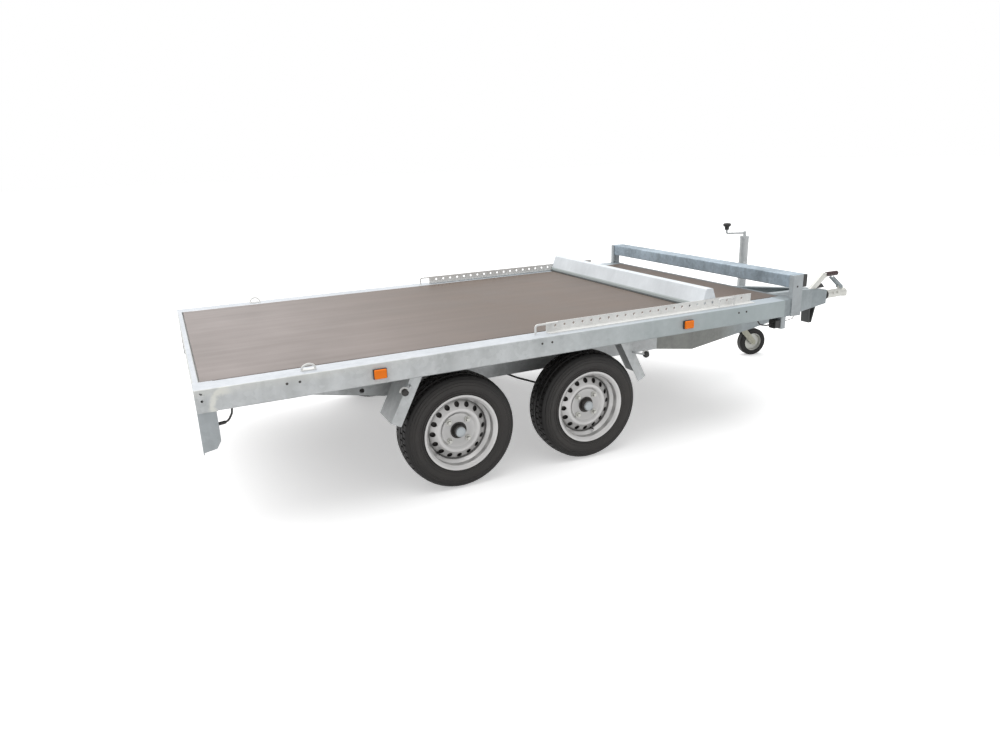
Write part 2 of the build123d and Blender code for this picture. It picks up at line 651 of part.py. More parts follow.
def rim(x, side):
    """Pressed steel wheel: rolled rim, dished disc, vents, stud holes and centre hole."""
    half, well = RIM_W / 2, BEAD_R - RIM_WELL
    seat = half - RIM_FLANGE / 2 - BEAD_PLAY / 2
    lip = RIM_R - RIM_FLANGE / 2
    slope = SEAT_W + RIM_WELL
    barrel = folded([(RIM_R, -half), (lip, BEAD_PLAY - half), (BEAD_R, -seat), (BEAD_R - 1, SEAT_W - seat),
                     (well, slope - seat), (well, seat - slope), (BEAD_R - 1, seat - SEAT_W), (BEAD_R, seat),
                     (lip, half - BEAD_PLAY), (RIM_R, half)], RIM_SHEET, radius=1.5)
    vents, face = VENT_PCD / 2, WHEEL_OFFSET
    crest = face + DISC_RISE
    disc = folded([(CENTRE_R, face), (DISC_FLAT_R, face), (DISC_RING[0], crest), (DISC_RING[1], crest),
                   (vents + VENT_R, face - DISH / 2), (well - RIM_SHEET, face - DISH)], RIM_SHEET, radius=4)
    wheel = turned(barrel, at(x), side * WHEEL_Y, WHEEL_Z, side)
    wheel += turned(disc, at(x), side * WHEEL_Y, WHEEL_Z, side)
    axle = Plane((at(x), side * WHEEL_Y, WHEEL_Z), x_dir=(1, 0, 0), z_dir=(0, side, 0))
    holes = [spot * Circle(VENT_R) for spot in PolarLocations(vents, VENTS)]
    holes += [spot * Circle(STUD_HOLE_R) for spot in PolarLocations(STUD_PCD / 2, STUDS, STUD_TURN)]
    return wheel - [extrude(axle * hole, RIM_W / 2) for hole in holes]


def hub(x, side):
    """Brake drum with its flange and grease cap, bored for the spindle."""
    face, back = WHEEL_OFFSET, WHEEL_OFFSET - DRUM_W
    bore, cap = SPINDLE_R + RUN_CLEAR, CENTRE_R - RIM_SHEET
    end = face + SIDE_CLEAR
    chamfer = 2 * SIDE_CLEAR
    section = outline([(bore, back), (DRUM_R - SIDE_CLEAR, back), (DRUM_R, back + SIDE_CLEAR / 2),
                       (DRUM_R, face - chamfer), (DRUM_R - chamfer, face), (cap, face),
                       (cap, face + CAP_H - SIDE_CLEAR), (cap - SIDE_CLEAR, face + CAP_H - 2),
                       (0, face + CAP_H), (0, end), (bore, end)])
    return turned(section, at(x), side * WHEEL_Y, WHEEL_Z, side)


def suspension_arm(x, side):
    """Trailing arm with its spindle, from the axle tube's end to the wheel."""
    start, end = (at(x + ARM_REACH), AXLE_Z), (at(x), WHEEL_Z)
    plane = Plane((0, AXLE_END, 0), x_dir=(-1, 0, 0), z_dir=(0, 1, 0))
    big = Pos(-start[0], start[1]) * Circle(ARM_END_R)
    small = Pos(-end[0], end[1]) * Circle(ARM_TIP_R)
    arm = extrude(plane * make_hull(big.edges() + small.edges()), ARM_PLATE)
    boss = rod((end[0], AXLE_END + ARM_PLATE, end[1]), (end[0], BACKPLATE_Y, end[1]), BOSS_R)
    spindle = rod((end[0], AXLE_END, end[1]), (end[0], WHEEL_Y + WHEEL_OFFSET, end[1]), SPINDLE_R)
    arm = arm + boss + spindle
    return arm if side > 0 else other_side(arm)


def brake_backplate(x, side):
    section = Circle(DRUM_R) - Circle(SPINDLE_R)
    plate = extrude(Plane((at(x), BACKPLATE_Y, WHEEL_Z), z_dir=(0, 1, 0)) * section, BACKPLATE)
    return plate if side > 0 else other_side(plate)


def at_wheels(piece):
    return Compound(children=[piece(x, side) for x in AXLE_X for side in (1, -1)])


def axle_beam(x):
    """Hexagonal rubber-torsion axle tube with the seats that bolt it under the chassis beams."""
    hexagon = RegularPolygon(AXLE_AF / 2, 6, major_radius=False, rotation=30)
    middle = at(x + ARM_REACH)
    tube = along_y(Pos(middle, AXLE_Z) * hexagon, -AXLE_END, AXLE_END)
    seat = block(middle - SEAT_L / 2, middle + SEAT_L / 2, BEAM_Y - BEAM_FLANGE, BEAM_Y,
                 AXLE_Z + AXLE_AF / 2, BEAM_BOTTOM)
    return tube + seat + other_side(seat)


# Jockey wheel

def jockey_tube():
    x, y = at(JOCKEY_X), JOCKEY_Y
    bore = JOCKEY_TUBE_R - JOCKEY_WALL
    tube = rod((x, y, TUBE_FOOT), (x, y, JOCKEY_TOP), JOCKEY_TUBE_R)
    collar = rod((x, y, JOCKEY_TOP - COLLAR_H), (x, y, JOCKEY_TOP), JOCKEY_TUBE_R + COLLAR_T)
    return tube + collar - rod((x, y, TUBE_FOOT), (x, y, JOCKEY_TOP - JOCKEY_WALL), bore)


def jockey_clamp():
    """Split collar round the tube, on a plate against the outer face of the left arm."""
    reach = JOCKEY_STANDOFF * cos(radians(ARM_TURN))
    z = (NOSE_BOTTOM_REAR + NOSE_TOP_REAR) / 2
    place = Pos(at(JOCKEY_X), JOCKEY_Y, z) * Rot(0, 0, -ARM_TURN)
    plate = Pos(0, CLAMP_PLATE[1] / 2 - reach, 0) * Box(*CLAMP_PLATE)
    web = Pos(0, -reach / 2, 0) * Box(CLAMP_WEB, reach, CLAMP_H)
    collar = Cylinder(JOCKEY_TUBE_R + CLAMP_WALL, CLAMP_H)
    slit = Box(EAR_SLIT, 2 * EAR[1], CLAMP_H)
    ears = Pos(0, JOCKEY_TUBE_R + EAR[1] / 2, 0) * (Box(*EAR) - slit)
    bore = Cylinder(JOCKEY_TUBE_R, 2 * CLAMP_H)
    return place * (plate + web + collar + ears - bore)


def crank_end():
    return at(JOCKEY_X) - CRANK_REACH, JOCKEY_Y + CRANK_SIDE, JOCKEY_TOP + CRANK_RISE


def jockey_crank():
    x, y, z = at(JOCKEY_X), JOCKEY_Y, JOCKEY_TOP
    radius, height = CRANK_BOSS
    end_x, end_y, end_z = crank_end()
    boss = rod((x, y, z), (x, y, z + height), radius)
    arm = bent_bar([(x, y, z + height - radius), (end_x, end_y, z + height - CRANK_R), (end_x, end_y, end_z)],
                   CRANK_R, 2 * CRANK_R)
    return boss + arm


def jockey_knob():
    """Mushroom knob on the end of the crank."""
    x, y, z = crank_end()
    r = JOCKEY_KNOB_R
    neck, ball_top = (0.75 * r, r), (0.75 * r, 2 * r)
    section = make_face(Polyline((0, 0), (0.6 * r, 0), neck) + ThreePointArc(neck, (1.2 * r, 1.5 * r), ball_top)
                        + Polyline(ball_top, (0, 2.1 * r), (0, 0)))
    return revolve(Plane((x, y, z), x_dir=(1, 0, 0), z_dir=(0, -1, 0)) * section, Axis((x, y, z), (0, 0, 1)))


def jockey_leg():
    x, y = at(JOCKEY_X), JOCKEY_Y
    leg = rod((x, y, LEG_FOOT), (x, y, JOCKEY_TOP - LEG_ROOM), LEG_R)
    foot = rod((x, y, LEG_FOOT), (x, y, LEG_FOOT + LEG_FLANGE), JOCKEY_TUBE_R)
    socket = rod((x, y, LEG_FOOT), (x, y, LEG_FOOT + KINGPIN_H + LEG_FLANGE), JOCKEY_PIN_R + RUN_CLEAR)
    return leg + foot - socket


def caster_place():
    return Pos(at(JOCKEY_X), JOCKEY_Y, 0) * Rot(0, 0, JOCKEY_TURN)


def jockey_fork():
    """Swivelling fork: crown, kingpin, two cheeks and the wheel's axle."""
    inside = JOCKEY_WHEEL_W / 2 + SIDE_CLEAR
    outside = inside + FORK_SHEET
    low, high = JOCKEY_WHEEL_R - FORK_END_R, JOCKEY_WHEEL_R + FORK_END_R / 2
    crown = Pos(0, 0, CROWN_Z + CROWN_T / 2) * Cylinder(JOCKEY_TUBE_R + SIDE_CLEAR, CROWN_T)
    pin = rod((0, 0, CROWN_Z), (0, 0, CROWN_Z + CROWN_T + KINGPIN_H), JOCKEY_PIN_R)
    profile = outline([(-FORK_REAR, CROWN_Z), (FORK_FRONT, CROWN_Z), (JOCKEY_TRAIL + FORK_END_R, high),
                       (JOCKEY_TRAIL + 0.7 * FORK_END_R, low), (JOCKEY_TRAIL - 0.8 * FORK_END_R, low)])
    bridge = block(-FORK_REAR, FORK_FRONT, -outside, outside, CROWN_Z - FORK_SHEET, CROWN_Z)
    cheek = along_y(profile, inside, outside)
    end = outside + FORK_SHEET
    axle = rod((JOCKEY_TRAIL, -end, JOCKEY_WHEEL_R), (JOCKEY_TRAIL, end, JOCKEY_WHEEL_R), JOCKEY_PIN_R)
    return caster_place() * (crown + pin + bridge + cheek + other_side(cheek) + axle)


def jockey_hub():
    """Pressed disc wheel with a long boss on its pin."""
    half, boss = JOCKEY_WHEEL_W / 2, JOCKEY_PIN_R + 10
    end, flange, disc = half + SIDE_CLEAR - 1, half - FORK_SHEET, 1.5 * FORK_SHEET
    inner = JOCKEY_RIM_R - FORK_SHEET
    right = [(JOCKEY_PIN_R + RUN_CLEAR, end), (boss, end), (boss + 2, disc), (inner - FORK_SHEET, disc),
             (inner, flange), (JOCKEY_RIM_R, flange)]
    section = outline([(r, -y) for r, y in right] + right[::-1])
    return caster_place() * turned(section, JOCKEY_TRAIL, 0, JOCKEY_WHEEL_R)


def jockey_tyre():
    half = JOCKEY_WHEEL_W / 2
    section = outline([(JOCKEY_RIM_R, -half), (JOCKEY_WHEEL_R, -half), (JOCKEY_WHEEL_R, half),
                       (JOCKEY_RIM_R, half)])
    crown = section.vertices().sort_by(Axis.X)[-2:]
    return caster_place() * turned(fillet(crown, TYRE_ROUND), JOCKEY_TRAIL, 0, JOCKEY_WHEEL_R)


# Load gear

def wheel_stop():
    """Folded stop across the deck: upright feet, sloping sides, a flat crest and closed ends."""
    half = HALF_W - GUIDE_INSET - STOP_SHEET
    slope = (STOP_BASE - STOP_TOP) / 2
    x, under = at(STOP_REAR), DECK_Z + STOP_H - STOP_SHEET
    knee, front = DECK_Z + STOP_UPRIGHT, x + STOP_BASE
    crest = [(x, knee), (x + slope, under), (front - slope, under), (front, knee)]
    points = [(x - STOP_FOOT, DECK_Z), (x, DECK_Z), *crest, (front, DECK_Z), (front + STOP_FOOT, DECK_Z)]
    slit = DECK_Z + STOP_SLIT
    end = along_y(outline([(x, slit), *crest, (front, slit)]), half - STOP_SHEET, half)
    return along_y(folded(points, STOP_SHEET), -half, half) + end + other_side(end)


def guide_rail():
    """Perforated guide on the side flange, with a bar loop at its rear end and a lashing staple."""
    y = HALF_W - GUIDE_INSET
    points = [(y + GUIDE_FOOT, DECK_Z), (y, DECK_Z), (y, DECK_Z + GUIDE_H)]
    plate = along_x(folded(points, -SHEET), at(GUIDE_REAR), at(GUIDE_FRONT))
    count = int((GUIDE_FRONT - GUIDE_REAR - GUIDE_PITCH) // GUIDE_PITCH)
    z = DECK_Z + GUIDE_HOLE_UP
    places = [at(GUIDE_REAR + GUIDE_PITCH * (i + 1)) for i in range(count)]
    holes = [rod((x, y - SHEET, z), (x, y + 2 * SHEET, z), GUIDE_HOLE_R) for x in places]
    bar_y = y + SHEET + LOOP_R - WELD
    top = DECK_Z + GUIDE_H - LOOP_R
    loop = bent_bar([(at(GUIDE_REAR + LOOP_L), bar_y, top), (at(GUIDE_REAR - LOOP_L), bar_y, top),
                     (at(GUIDE_REAR - LOOP_L), bar_y, DECK_Z)], LOOP_R, 2.5 * LOOP_R)
    staple_y, foot = y + GUIDE_FOOT - 2 * STAPLE_R, DECK_Z + SHEET - WELD
    ends = at(STAPLE_X), at(STAPLE_X + STAPLE_L)
    staple = bent_bar([(ends[0], staple_y, foot), (ends[0], staple_y, DECK_Z + STAPLE_H),
                       (ends[1], staple_y, DECK_Z + STAPLE_H), (ends[1], staple_y, foot)],
                      STAPLE_R, 3 * STAPLE_R)
    return plate - holes + loop + staple


def lashing_ring():
    length, width, thick = RING_PLATE
    x, y, z = at(RING_X), HALF_W - SIDE_FLANGE / 2, DECK_Z + thick
    base = block(x - length / 2, x + length / 2, y - width / 2, y + width / 2, DECK_Z, z)
    lean = Plane((x, y, z), x_dir=(1, 0, 0), z_dir=(0, -1, RING_LEAN))
    ring = lean * Torus(RING_R - RING_BAR, RING_BAR)
    above = block(x - RING_R, x + RING_R, y - RING_R, y + RING_R, z - thick / 2, z + 2 * RING_R)
    return base + (ring & above)


# Front board

def front_post():
    x0, x1 = at(POST_REAR), at(POST_REAR + POST_W)
    plate = block(x0, x1, HALF_W - POST_T, HALF_W, RAIL_Z - POST_TAIL, BOARD_TOP)
    lip = block(x0, x0 + POST_T, HALF_W - POST_LIP, HALF_W - POST_T, DECK_Z, BOARD_TOP)
    return plate + lip


def board_section():
    middle = Pos(at(POST_REAR + POST_T) + BOARD_DEPTH / 2, BOARD_TOP - BOARD_H / 2)
    return middle * RectangleRounded(BOARD_DEPTH, BOARD_H, BOARD_ROUND)


def front_board():
    half = HALF_W - POST_T - PLUG_T
    section = board_section()
    return along_y(section - offset(section, amount=-BOARD_WALL), -half, half)


def board_plug():
    return along_y(board_section(), HALF_W - POST_T - PLUG_T, HALF_W - POST_T)


# Mudguards and lamps

class GuardLine:
    """Slope of a mudguard: its edges at the rails and at its foot, and places along it."""

    def __init__(self, x, way):
        top_reach = (TYRE_R + GUARD_CLEAR_TOP) * cos(atan2(RAIL_Z - WHEEL_Z, GUARD_TOP))
        foot_reach = ((TYRE_R + GUARD_CLEAR_FOOT) ** 2 - (GUARD_FOOT_Z - WHEEL_Z) ** 2) ** 0.5
        self.way = way
        self.top = (at(x) + way * top_reach, RAIL_Z)
        self.foot = (at(x) + way * foot_reach, GUARD_FOOT_Z)
        self.down = Vector(self.foot[0] - self.top[0], GUARD_FOOT_Z - RAIL_Z).normalized()
        self.out = Vector(-way * self.down.Y, way * self.down.X)
        self.top_out = (self.top[0] + way * GUARD_FLANGE / abs(self.down.Y), RAIL_Z)

    def place(self, down, past):
        """Point down the slope from the top of the outer edge, and past that edge."""
        return (self.top_out[0] + down * self.down.X + past * self.out.X,
                self.top_out[1] + down * self.down.Y + past * self.out.Y)

    def knob_middle(self, i):
        x, z = self.place(KNOB_DOWN[i], KNOB_PAST[i])
        return Vector(x, GUARD_Y + KNOB_OUT, z)

    def stud_route(self, i):
        """Route of the knob's stud from the guard's face to its seat in the knob."""
        foot_x, foot_z = self.place(STUD_DOWN[i], -STUD_IN)
        bend, middle = Vector(foot_x, GUARD_Y + KNOB_OUT, foot_z), self.knob_middle(i)
        seat = middle - (middle - bend).normalized() * (KNOB_R - KNOB_SEAT)
        return [(foot_x, GUARD_Y, foot_z), tuple(bend), tuple(seat)]


GUARDS = [GuardLine(AXLE_X[0], -1), GuardLine(AXLE_X[1], 1)]


def mudguard(i):
    """Slanted splash plate beyond a wheel, with a flange on its outer edge and a stud for a knob."""
    line = GUARDS[i]
    foot_out = (line.foot[0] + line.out.X * GUARD_FLANGE, line.foot[1] + line.out.Y * GUARD_FLANGE)
    flange = along_y(outline([line.top, line.foot, foot_out, line.top_out]), GUARD_Y - GUARD_SHEET, GUARD_Y)
    inner_top = (line.top_out[0] - line.way * GUARD_SHEET / abs(line.down.Y), RAIL_Z)
    inner_foot = (foot_out[0] - line.out.X * GUARD_SHEET, foot_out[1] - line.out.Y * GUARD_SHEET)
    web = along_y(outline([line.top_out, foot_out, inner_foot, inner_top]), GUARD_Y - GUARD_W, GUARD_Y)
    corner = Plane((0, GUARD_Y - GUARD_W, GUARD_FOOT_Z), z_dir=(0, 1, -1)) * Box(
        4 * FRAME_W, 4 * GUARD_CHAMFER, 2 * GUARD_CHAMFER)
    return flange + (web - corner) + bent_bar(line.stud_route(i), KNOB_STUD, STUD_BEND)


def mudguards():
    guards = [mudguard(i) for i in range(len(GUARDS))]
    return Compound(children=guards + [other_side(g) for g in guards])


def guard_knobs():
    """Ball knobs, each with a flat seat towards its stud."""
    ball = Sphere(KNOB_R) - Pos(0, 0, KNOB_R) * Cylinder(2 * KNOB_STUD, 2 * KNOB_SEAT)
    knobs = []
    for i, line in enumerate(GUARDS):
        middle = line.knob_middle(i)
        knob = Plane(middle, z_dir=Vector(*line.stud_route(i)[-1]) - middle) * ball
        knobs += [knob, other_side(knob)]
    return Compound(children=knobs)


def lamp_bracket():
    """Folded guard under the rear corner: outer cheek with a chamfered foot, roof, back and rear lip."""
    run, rise = BRACKET_CHAMFER
    shoulder = BRACKET_FOOT + BRACKET_RISE + rise
    x0, x1 = at(0), at(BRACKET_L)
    cheek = outline([(x0, BRACKET_FOOT), (x1 - run, BRACKET_FOOT + BRACKET_RISE), (x1, shoulder),
                     (x1, RAIL_Z), (x0, RAIL_Z)])
    y, inner = BRACKET_Y, BRACKET_Y - BRACKET_LIP - LAMP_W - 2 * LAMP_SIDE
    plate = along_y(cheek, y - BRACKET_SHEET, y)
    roof = block(x0, x1, inner, y, RAIL_Z - BRACKET_SHEET, RAIL_Z)
    back = block(x1 - BRACKET_SHEET, x1, inner, y, shoulder, RAIL_Z)
    lip = block(x0, x0 + BRACKET_SHEET, y - BRACKET_LIP, y, BRACKET_FOOT - LIP_TAIL, RAIL_Z)
    return plate + roof + back + lip


def tail_lamp():
    y = BRACKET_Y - BRACKET_LIP - LAMP_SIDE
    top = RAIL_Z - BRACKET_SHEET - LAMP_SIDE
    face = at(BRACKET_L - BRACKET_SHEET)
    body = block(face - LAMP_D, face, y - LAMP_W, y, top - LAMP_H, top)
    return fillet(body.edges().filter_by(Axis.X), LAMP_ROUND)


def side_marker(x):
    z = RAIL_Z + RAIL_H / 2
    lamp = block(at(x - MARKER_L / 2), at(x + MARKER_L / 2), HALF_W, HALF_W + MARKER_D,
                 z - MARKER_H / 2, z + MARKER_H / 2)
    return fillet(lamp.edges().filter_by(Axis.Y), MARKER_ROUND)


def front_lamp_tab():
    """Folded tab under the front end of the rail, which carries the front lamp."""
    y1, x = HALF_W - FRONT_LAMP_INSET + TAB_EDGE, at(FRONT_LAMP_X)
    section = folded([(x, y1 - FRONT_LAMP_W - 2 * TAB_EDGE), (x, y1), (x + TAB_CHEEK, y1)], -TAB_T)
    foot = RAIL_Z - FRONT_LAMP_DROP - FRONT_LAMP_H - TAB_EDGE
    return extrude(Plane((0, 0, foot)) * section, RAIL_Z - foot)


def front_lamp():
    y1, top = HALF_W - FRONT_LAMP_INSET, RAIL_Z - FRONT_LAMP_DROP
    lamp = block(at(FRONT_LAMP_X - FRONT_LAMP_D), at(FRONT_LAMP_X), y1 - FRONT_LAMP_W, y1,
                 top - FRONT_LAMP_H, top)
    return fillet(lamp.edges().filter_by(Axis.X), FRONT_LAMP_ROUND)


def lamp_brackets():
    return Compound(children=[s for p in (lamp_bracket(), front_lamp_tab()) for s in (p, other_side(p))])


def side_markers():
    return Compound(children=[s for x in MARKER_X for s in (side_marker(x), other_side(side_marker(x)))])


def lamp_leads():
    """Leads from the tail lamps and the front lamps up to the side rails."""
    y = HALF_W - FOOT_FLANGE / 2
    back = BRACKET_L
    rear = [(back, y, RAIL_Z - 62), (back + 36, y, RAIL_Z - 58), (back + 54, y, RAIL_Z - 28),
            (back + 58, y, RAIL_Z)]
    lamp_back = FRONT_LAMP_X - FRONT_LAMP_D
    z = RAIL_Z - FRONT_LAMP_DROP - FRONT_LAMP_H / 2
    front = [(lamp_back, y, z), (lamp_back - 50, y, z - 1), (lamp_back - 96, y, z + 8),
             (lamp_back - 120, y, RAIL_Z)]
    met = side_rail(), lamp_bracket(), front_lamp()
    leads = [trimmed(bent_bar([(at(x), y, z) for x, y, z in route], LEAD_R, LEAD_BEND), *met)
             for route in (rear, front)]
    return Compound(children=[s for lead in leads for s in (lead, other_side(lead))])


def earth_wire():
    """Thin wire from the front lamp's tab to the foot of the front post."""
    start, end = FRONT_LAMP_X + TAB_T, POST_REAR + POST_W / 3
    y, post_y = HALF_W - FRONT_LAMP_INSET - 2 * TAB_T, HALF_W - POST_T / 2
    route = [(start, y, RAIL_Z - 32), (start + 26, y, RAIL_Z - 30), (end - 6, post_y, RAIL_Z - 16),
             (end, post_y, RAIL_Z - POST_TAIL)]
    wire = bent_bar([(at(x), y, z) for x, y, z in route], WIRE_R, 3 * WIRE_R)
    return trimmed(wire, front_lamp_tab(), front_post())


# Wheel chock

def wheel_chock():
    """Moulded chock carried under the nose: two legs joined by a foot, closed on its left side."""
    x0, x1 = CHOCK_X, CHOCK_X + CHOCK_L
    foot = nose_bottom(x0) - CHOCK_H
    rear, front = CHOCK_LEAN
    profile = outline([(at(x0), nose_bottom(x0)), (at(x1), nose_bottom(x1)), (at(x1 - front), foot),
                       (at(x0 + rear), foot)])
    body = along_y(profile, -CHOCK_W / 2, CHOCK_W / 2)
    hollow = offset(profile, amount=-CHOCK_WALL, kind=Kind.INTERSECTION)
    return body - along_y(hollow, -CHOCK_W / 2, CHOCK_W / 2 - CHOCK_WALL)


# Nodes

NODES = {
    "side_rail_left": side_rail,
    "side_rail_right": lambda: other_side(side_rail()),
    "rear_cross_member": rear_cross_member,
    "front_cross_member": front_cross_member,
    "deck_bearers": deck_bearers,
    "deck_panel_rear": deck_panel_rear,
    "deck_panel_front": deck_panel_front,
    "chassis_beam_left": chassis_beam,
    "chassis_beam_right": lambda: other_side(chassis_beam()),
    "drawbar_arm_left": drawbar_arm,
    "drawbar_arm_right": lambda: other_side(drawbar_arm()),
    "overrun_housing": overrun_housing,
    "brake_linkage": brake_linkage,
    "brake_cables": brake_cables,
    "coupling_bellows": coupling_bellows,
    "coupling_head": coupling_head,
    "coupling_handle": coupling_handle,
    "handbrake_lever": handbrake_lever,
    "handbrake_grip": handbrake_grip,
    "axle_beam_rear": lambda: axle_beam(AXLE_X[0]),
    "axle_beam_front": lambda: axle_beam(AXLE_X[1]),
    "suspension_arms": lambda: at_wheels(suspension_arm),
    "brake_backplates": lambda: at_wheels(brake_backplate),
    "jockey_clamp": jockey_clamp,
    "jockey_tube": jockey_tube,
    "jockey_crank": jockey_crank,
    "jockey_knob": jockey_knob,
    "jockey_leg": jockey_leg,
    "jockey_fork": jockey_fork,
    "jockey_hub": jockey_hub,
    "jockey_tyre": jockey_tyre,
    "wheel_stop": wheel_stop,
    "guide_rail_left": guide_rail,
    "guide_rail_right": lambda: other_side(guide_rail()),
    "lashing_rings": lambda: both_sides(lashing_ring()),
    "front_post_left": front_post,
    "front_post_right": lambda: other_side(front_post()),
    "front_board": front_board,
    "board_plugs": lambda: both_sides(board_plug()),
    "mudguards": mudguards,
    "guard_knobs": guard_knobs,
    "lamp_brackets": lamp_brackets,
    "tail_lamps": lambda: both_sides(tail_lamp()),
    "side_markers": side_markers,
    "front_lamps": lambda: both_sides(front_lamp()),
    "lamp_leads": lamp_leads,
    "earth_wires": lambda: both_sides(earth_wire()),
    "wheel_chock": wheel_chock,
}

WHEEL_NAMES = {"rear": AXLE_X[0], "front": AXLE_X[1]}
SIDE_NAMES = {"left": 1, "right": -1}
for place, x in WHEEL_NAMES.items():
    for hand, side in SIDE_NAMES.items():
        for name, piece in (("tyre", tyre), ("rim", rim), ("hub", hub)):
            NODES[f"{name}_{place}_{hand}"] = lambda piece=piece, x=x, side=side: piece(x, side)

for node, piece in NODES.items():
    export_step(piece(), f"parts/{node}.step")
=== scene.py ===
"""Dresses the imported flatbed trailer: finishes, tyre tread, fasteners, lamps, studio and camera."""

import math

import bpy
from bpy.props import FloatProperty, FloatVectorProperty, IntProperty, PointerProperty
from mathutils import Matrix, Vector


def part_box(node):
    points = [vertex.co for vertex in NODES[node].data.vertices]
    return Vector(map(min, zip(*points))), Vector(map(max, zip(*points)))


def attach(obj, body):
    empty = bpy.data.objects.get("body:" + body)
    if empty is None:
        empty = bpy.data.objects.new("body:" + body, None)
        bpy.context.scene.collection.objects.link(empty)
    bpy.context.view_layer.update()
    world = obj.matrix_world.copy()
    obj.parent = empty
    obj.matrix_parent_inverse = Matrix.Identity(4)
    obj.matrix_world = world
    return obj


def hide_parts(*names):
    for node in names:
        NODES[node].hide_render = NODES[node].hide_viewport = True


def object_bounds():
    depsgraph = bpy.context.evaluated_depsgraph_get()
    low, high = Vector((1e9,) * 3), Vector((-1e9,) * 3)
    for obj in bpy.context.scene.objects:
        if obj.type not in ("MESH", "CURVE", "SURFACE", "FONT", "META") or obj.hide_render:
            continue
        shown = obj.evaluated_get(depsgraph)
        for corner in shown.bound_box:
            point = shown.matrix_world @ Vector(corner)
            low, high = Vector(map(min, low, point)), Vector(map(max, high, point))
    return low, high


bl_info = {
    "name": "Flatbed trailer",
    "version": (1, 0, 0),
    "blender": (4, 5, 0),
    "location": "3D View > Sidebar > Trailer",
    "description": "Finishes, tyres, fasteners and lamps for a tandem flatbed trailer",
    "category": "Object",
}

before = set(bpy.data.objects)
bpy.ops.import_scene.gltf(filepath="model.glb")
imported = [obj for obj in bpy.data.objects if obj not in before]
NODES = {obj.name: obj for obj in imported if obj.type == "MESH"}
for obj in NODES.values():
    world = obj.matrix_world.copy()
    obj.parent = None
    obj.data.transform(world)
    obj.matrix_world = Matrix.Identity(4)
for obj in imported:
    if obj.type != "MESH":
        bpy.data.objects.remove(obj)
CAD_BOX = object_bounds()
REAR = CAD_BOX[0][0]
MAIN_BODY = "chassis"
WHEELS = ("rear_left", "rear_right", "front_left", "front_right")

# Places along the trailer, from its rear face
RAIL_BOLTS = (0.340, 0.390, 1.488, 1.540, 2.667, 2.719)
MARKER_PLACES = (0.716, 2.330)
# Bolts of an axle from its middle, and of the coupling back from its front end
AXLE_BOLTS = (-0.053, 0.053)
COUPLING_BOLTS = (0.110, 0.155)
# Bands of the tread with cross grooves: start and stop as shares of the half width, steps of skew
GROOVE_BANDS = ((0.20, 0.42, 1), (0.52, 0.80, 3))
# Darkening of a rim, towards the hub and as painted shade in the crease where the disc meets the
# barrel: radius where it begins, radius where it is full, amount
RIM_DARKENING = ((0.108, 0.060, 0.45), (0.132, 0.139, 0.5))
RIM_WELL_EDGE = 0.147
# Coloured parts of a tail lamp, as shares of its width from the outer end
TAIL_LENSES = (("amber lens", 0.0, 0.28), ("red lens", 0.29, 0.78), ("clear lens", 0.79, 1.0))
EARTH = (0.20, 0.18, 0.16, 1.0)
PALE_EARTH = (0.30, 0.28, 0.25, 1.0)
WHITE = (1.0, 1.0, 1.0, 1.0)

# Sections of small turned pieces: share of the radius, and reach along the axis
CAP_SECTION = ((0.0, 0.010), (0.45, 0.0095), (0.75, 0.008), (0.93, 0.005), (1.0, 0.0),
               (1.0, -0.008))
# Dark ring round a hub: painted shade of a wider centre bore
HUB_SHADE_SECTION = ((0.76, 0.001), (0.82, 0.0022), (0.95, 0.0022), (1.0, 0.0))
# Dark disc behind the vents: painted shade seen through them
VENT_SHADE_SECTION = ((0.55, 0.010), (0.80, 0.010), (0.93, 0.005), (1.0, -0.006), (0.985, -0.009),
                  (0.91, 0.002), (0.79, 0.007), (0.55, 0.007))
# Sections with their radius in metres
VALVE_SECTION = ((0.0, 0.036), (0.0034, 0.036), (0.0040, 0.034), (0.0040, 0.026), (0.0030, 0.025),
                 (0.0030, 0.016), (0.0055, 0.010), (0.0065, 0.0))
SCREW_SECTION = ((0.0, -0.030), (0.0085, -0.030), (0.0085, -0.022), (0.005, -0.022), (0.005, 0.050),
                 (0.008, 0.050), (0.008, 0.066), (0.0, 0.066))
BAR_SECTION = ((0.0, -0.050), (0.004, -0.050), (0.0052, -0.047), (0.0040, -0.043), (0.0040, 0.043),
               (0.0052, 0.047), (0.004, 0.050), (0.0, 0.050))
SLEEVE_SECTION = ((0.0, 0.0), (0.0064, 0.0), (0.0068, 0.003), (0.0068, 0.024), (0.0052, 0.029),
                  (0.0, 0.029))

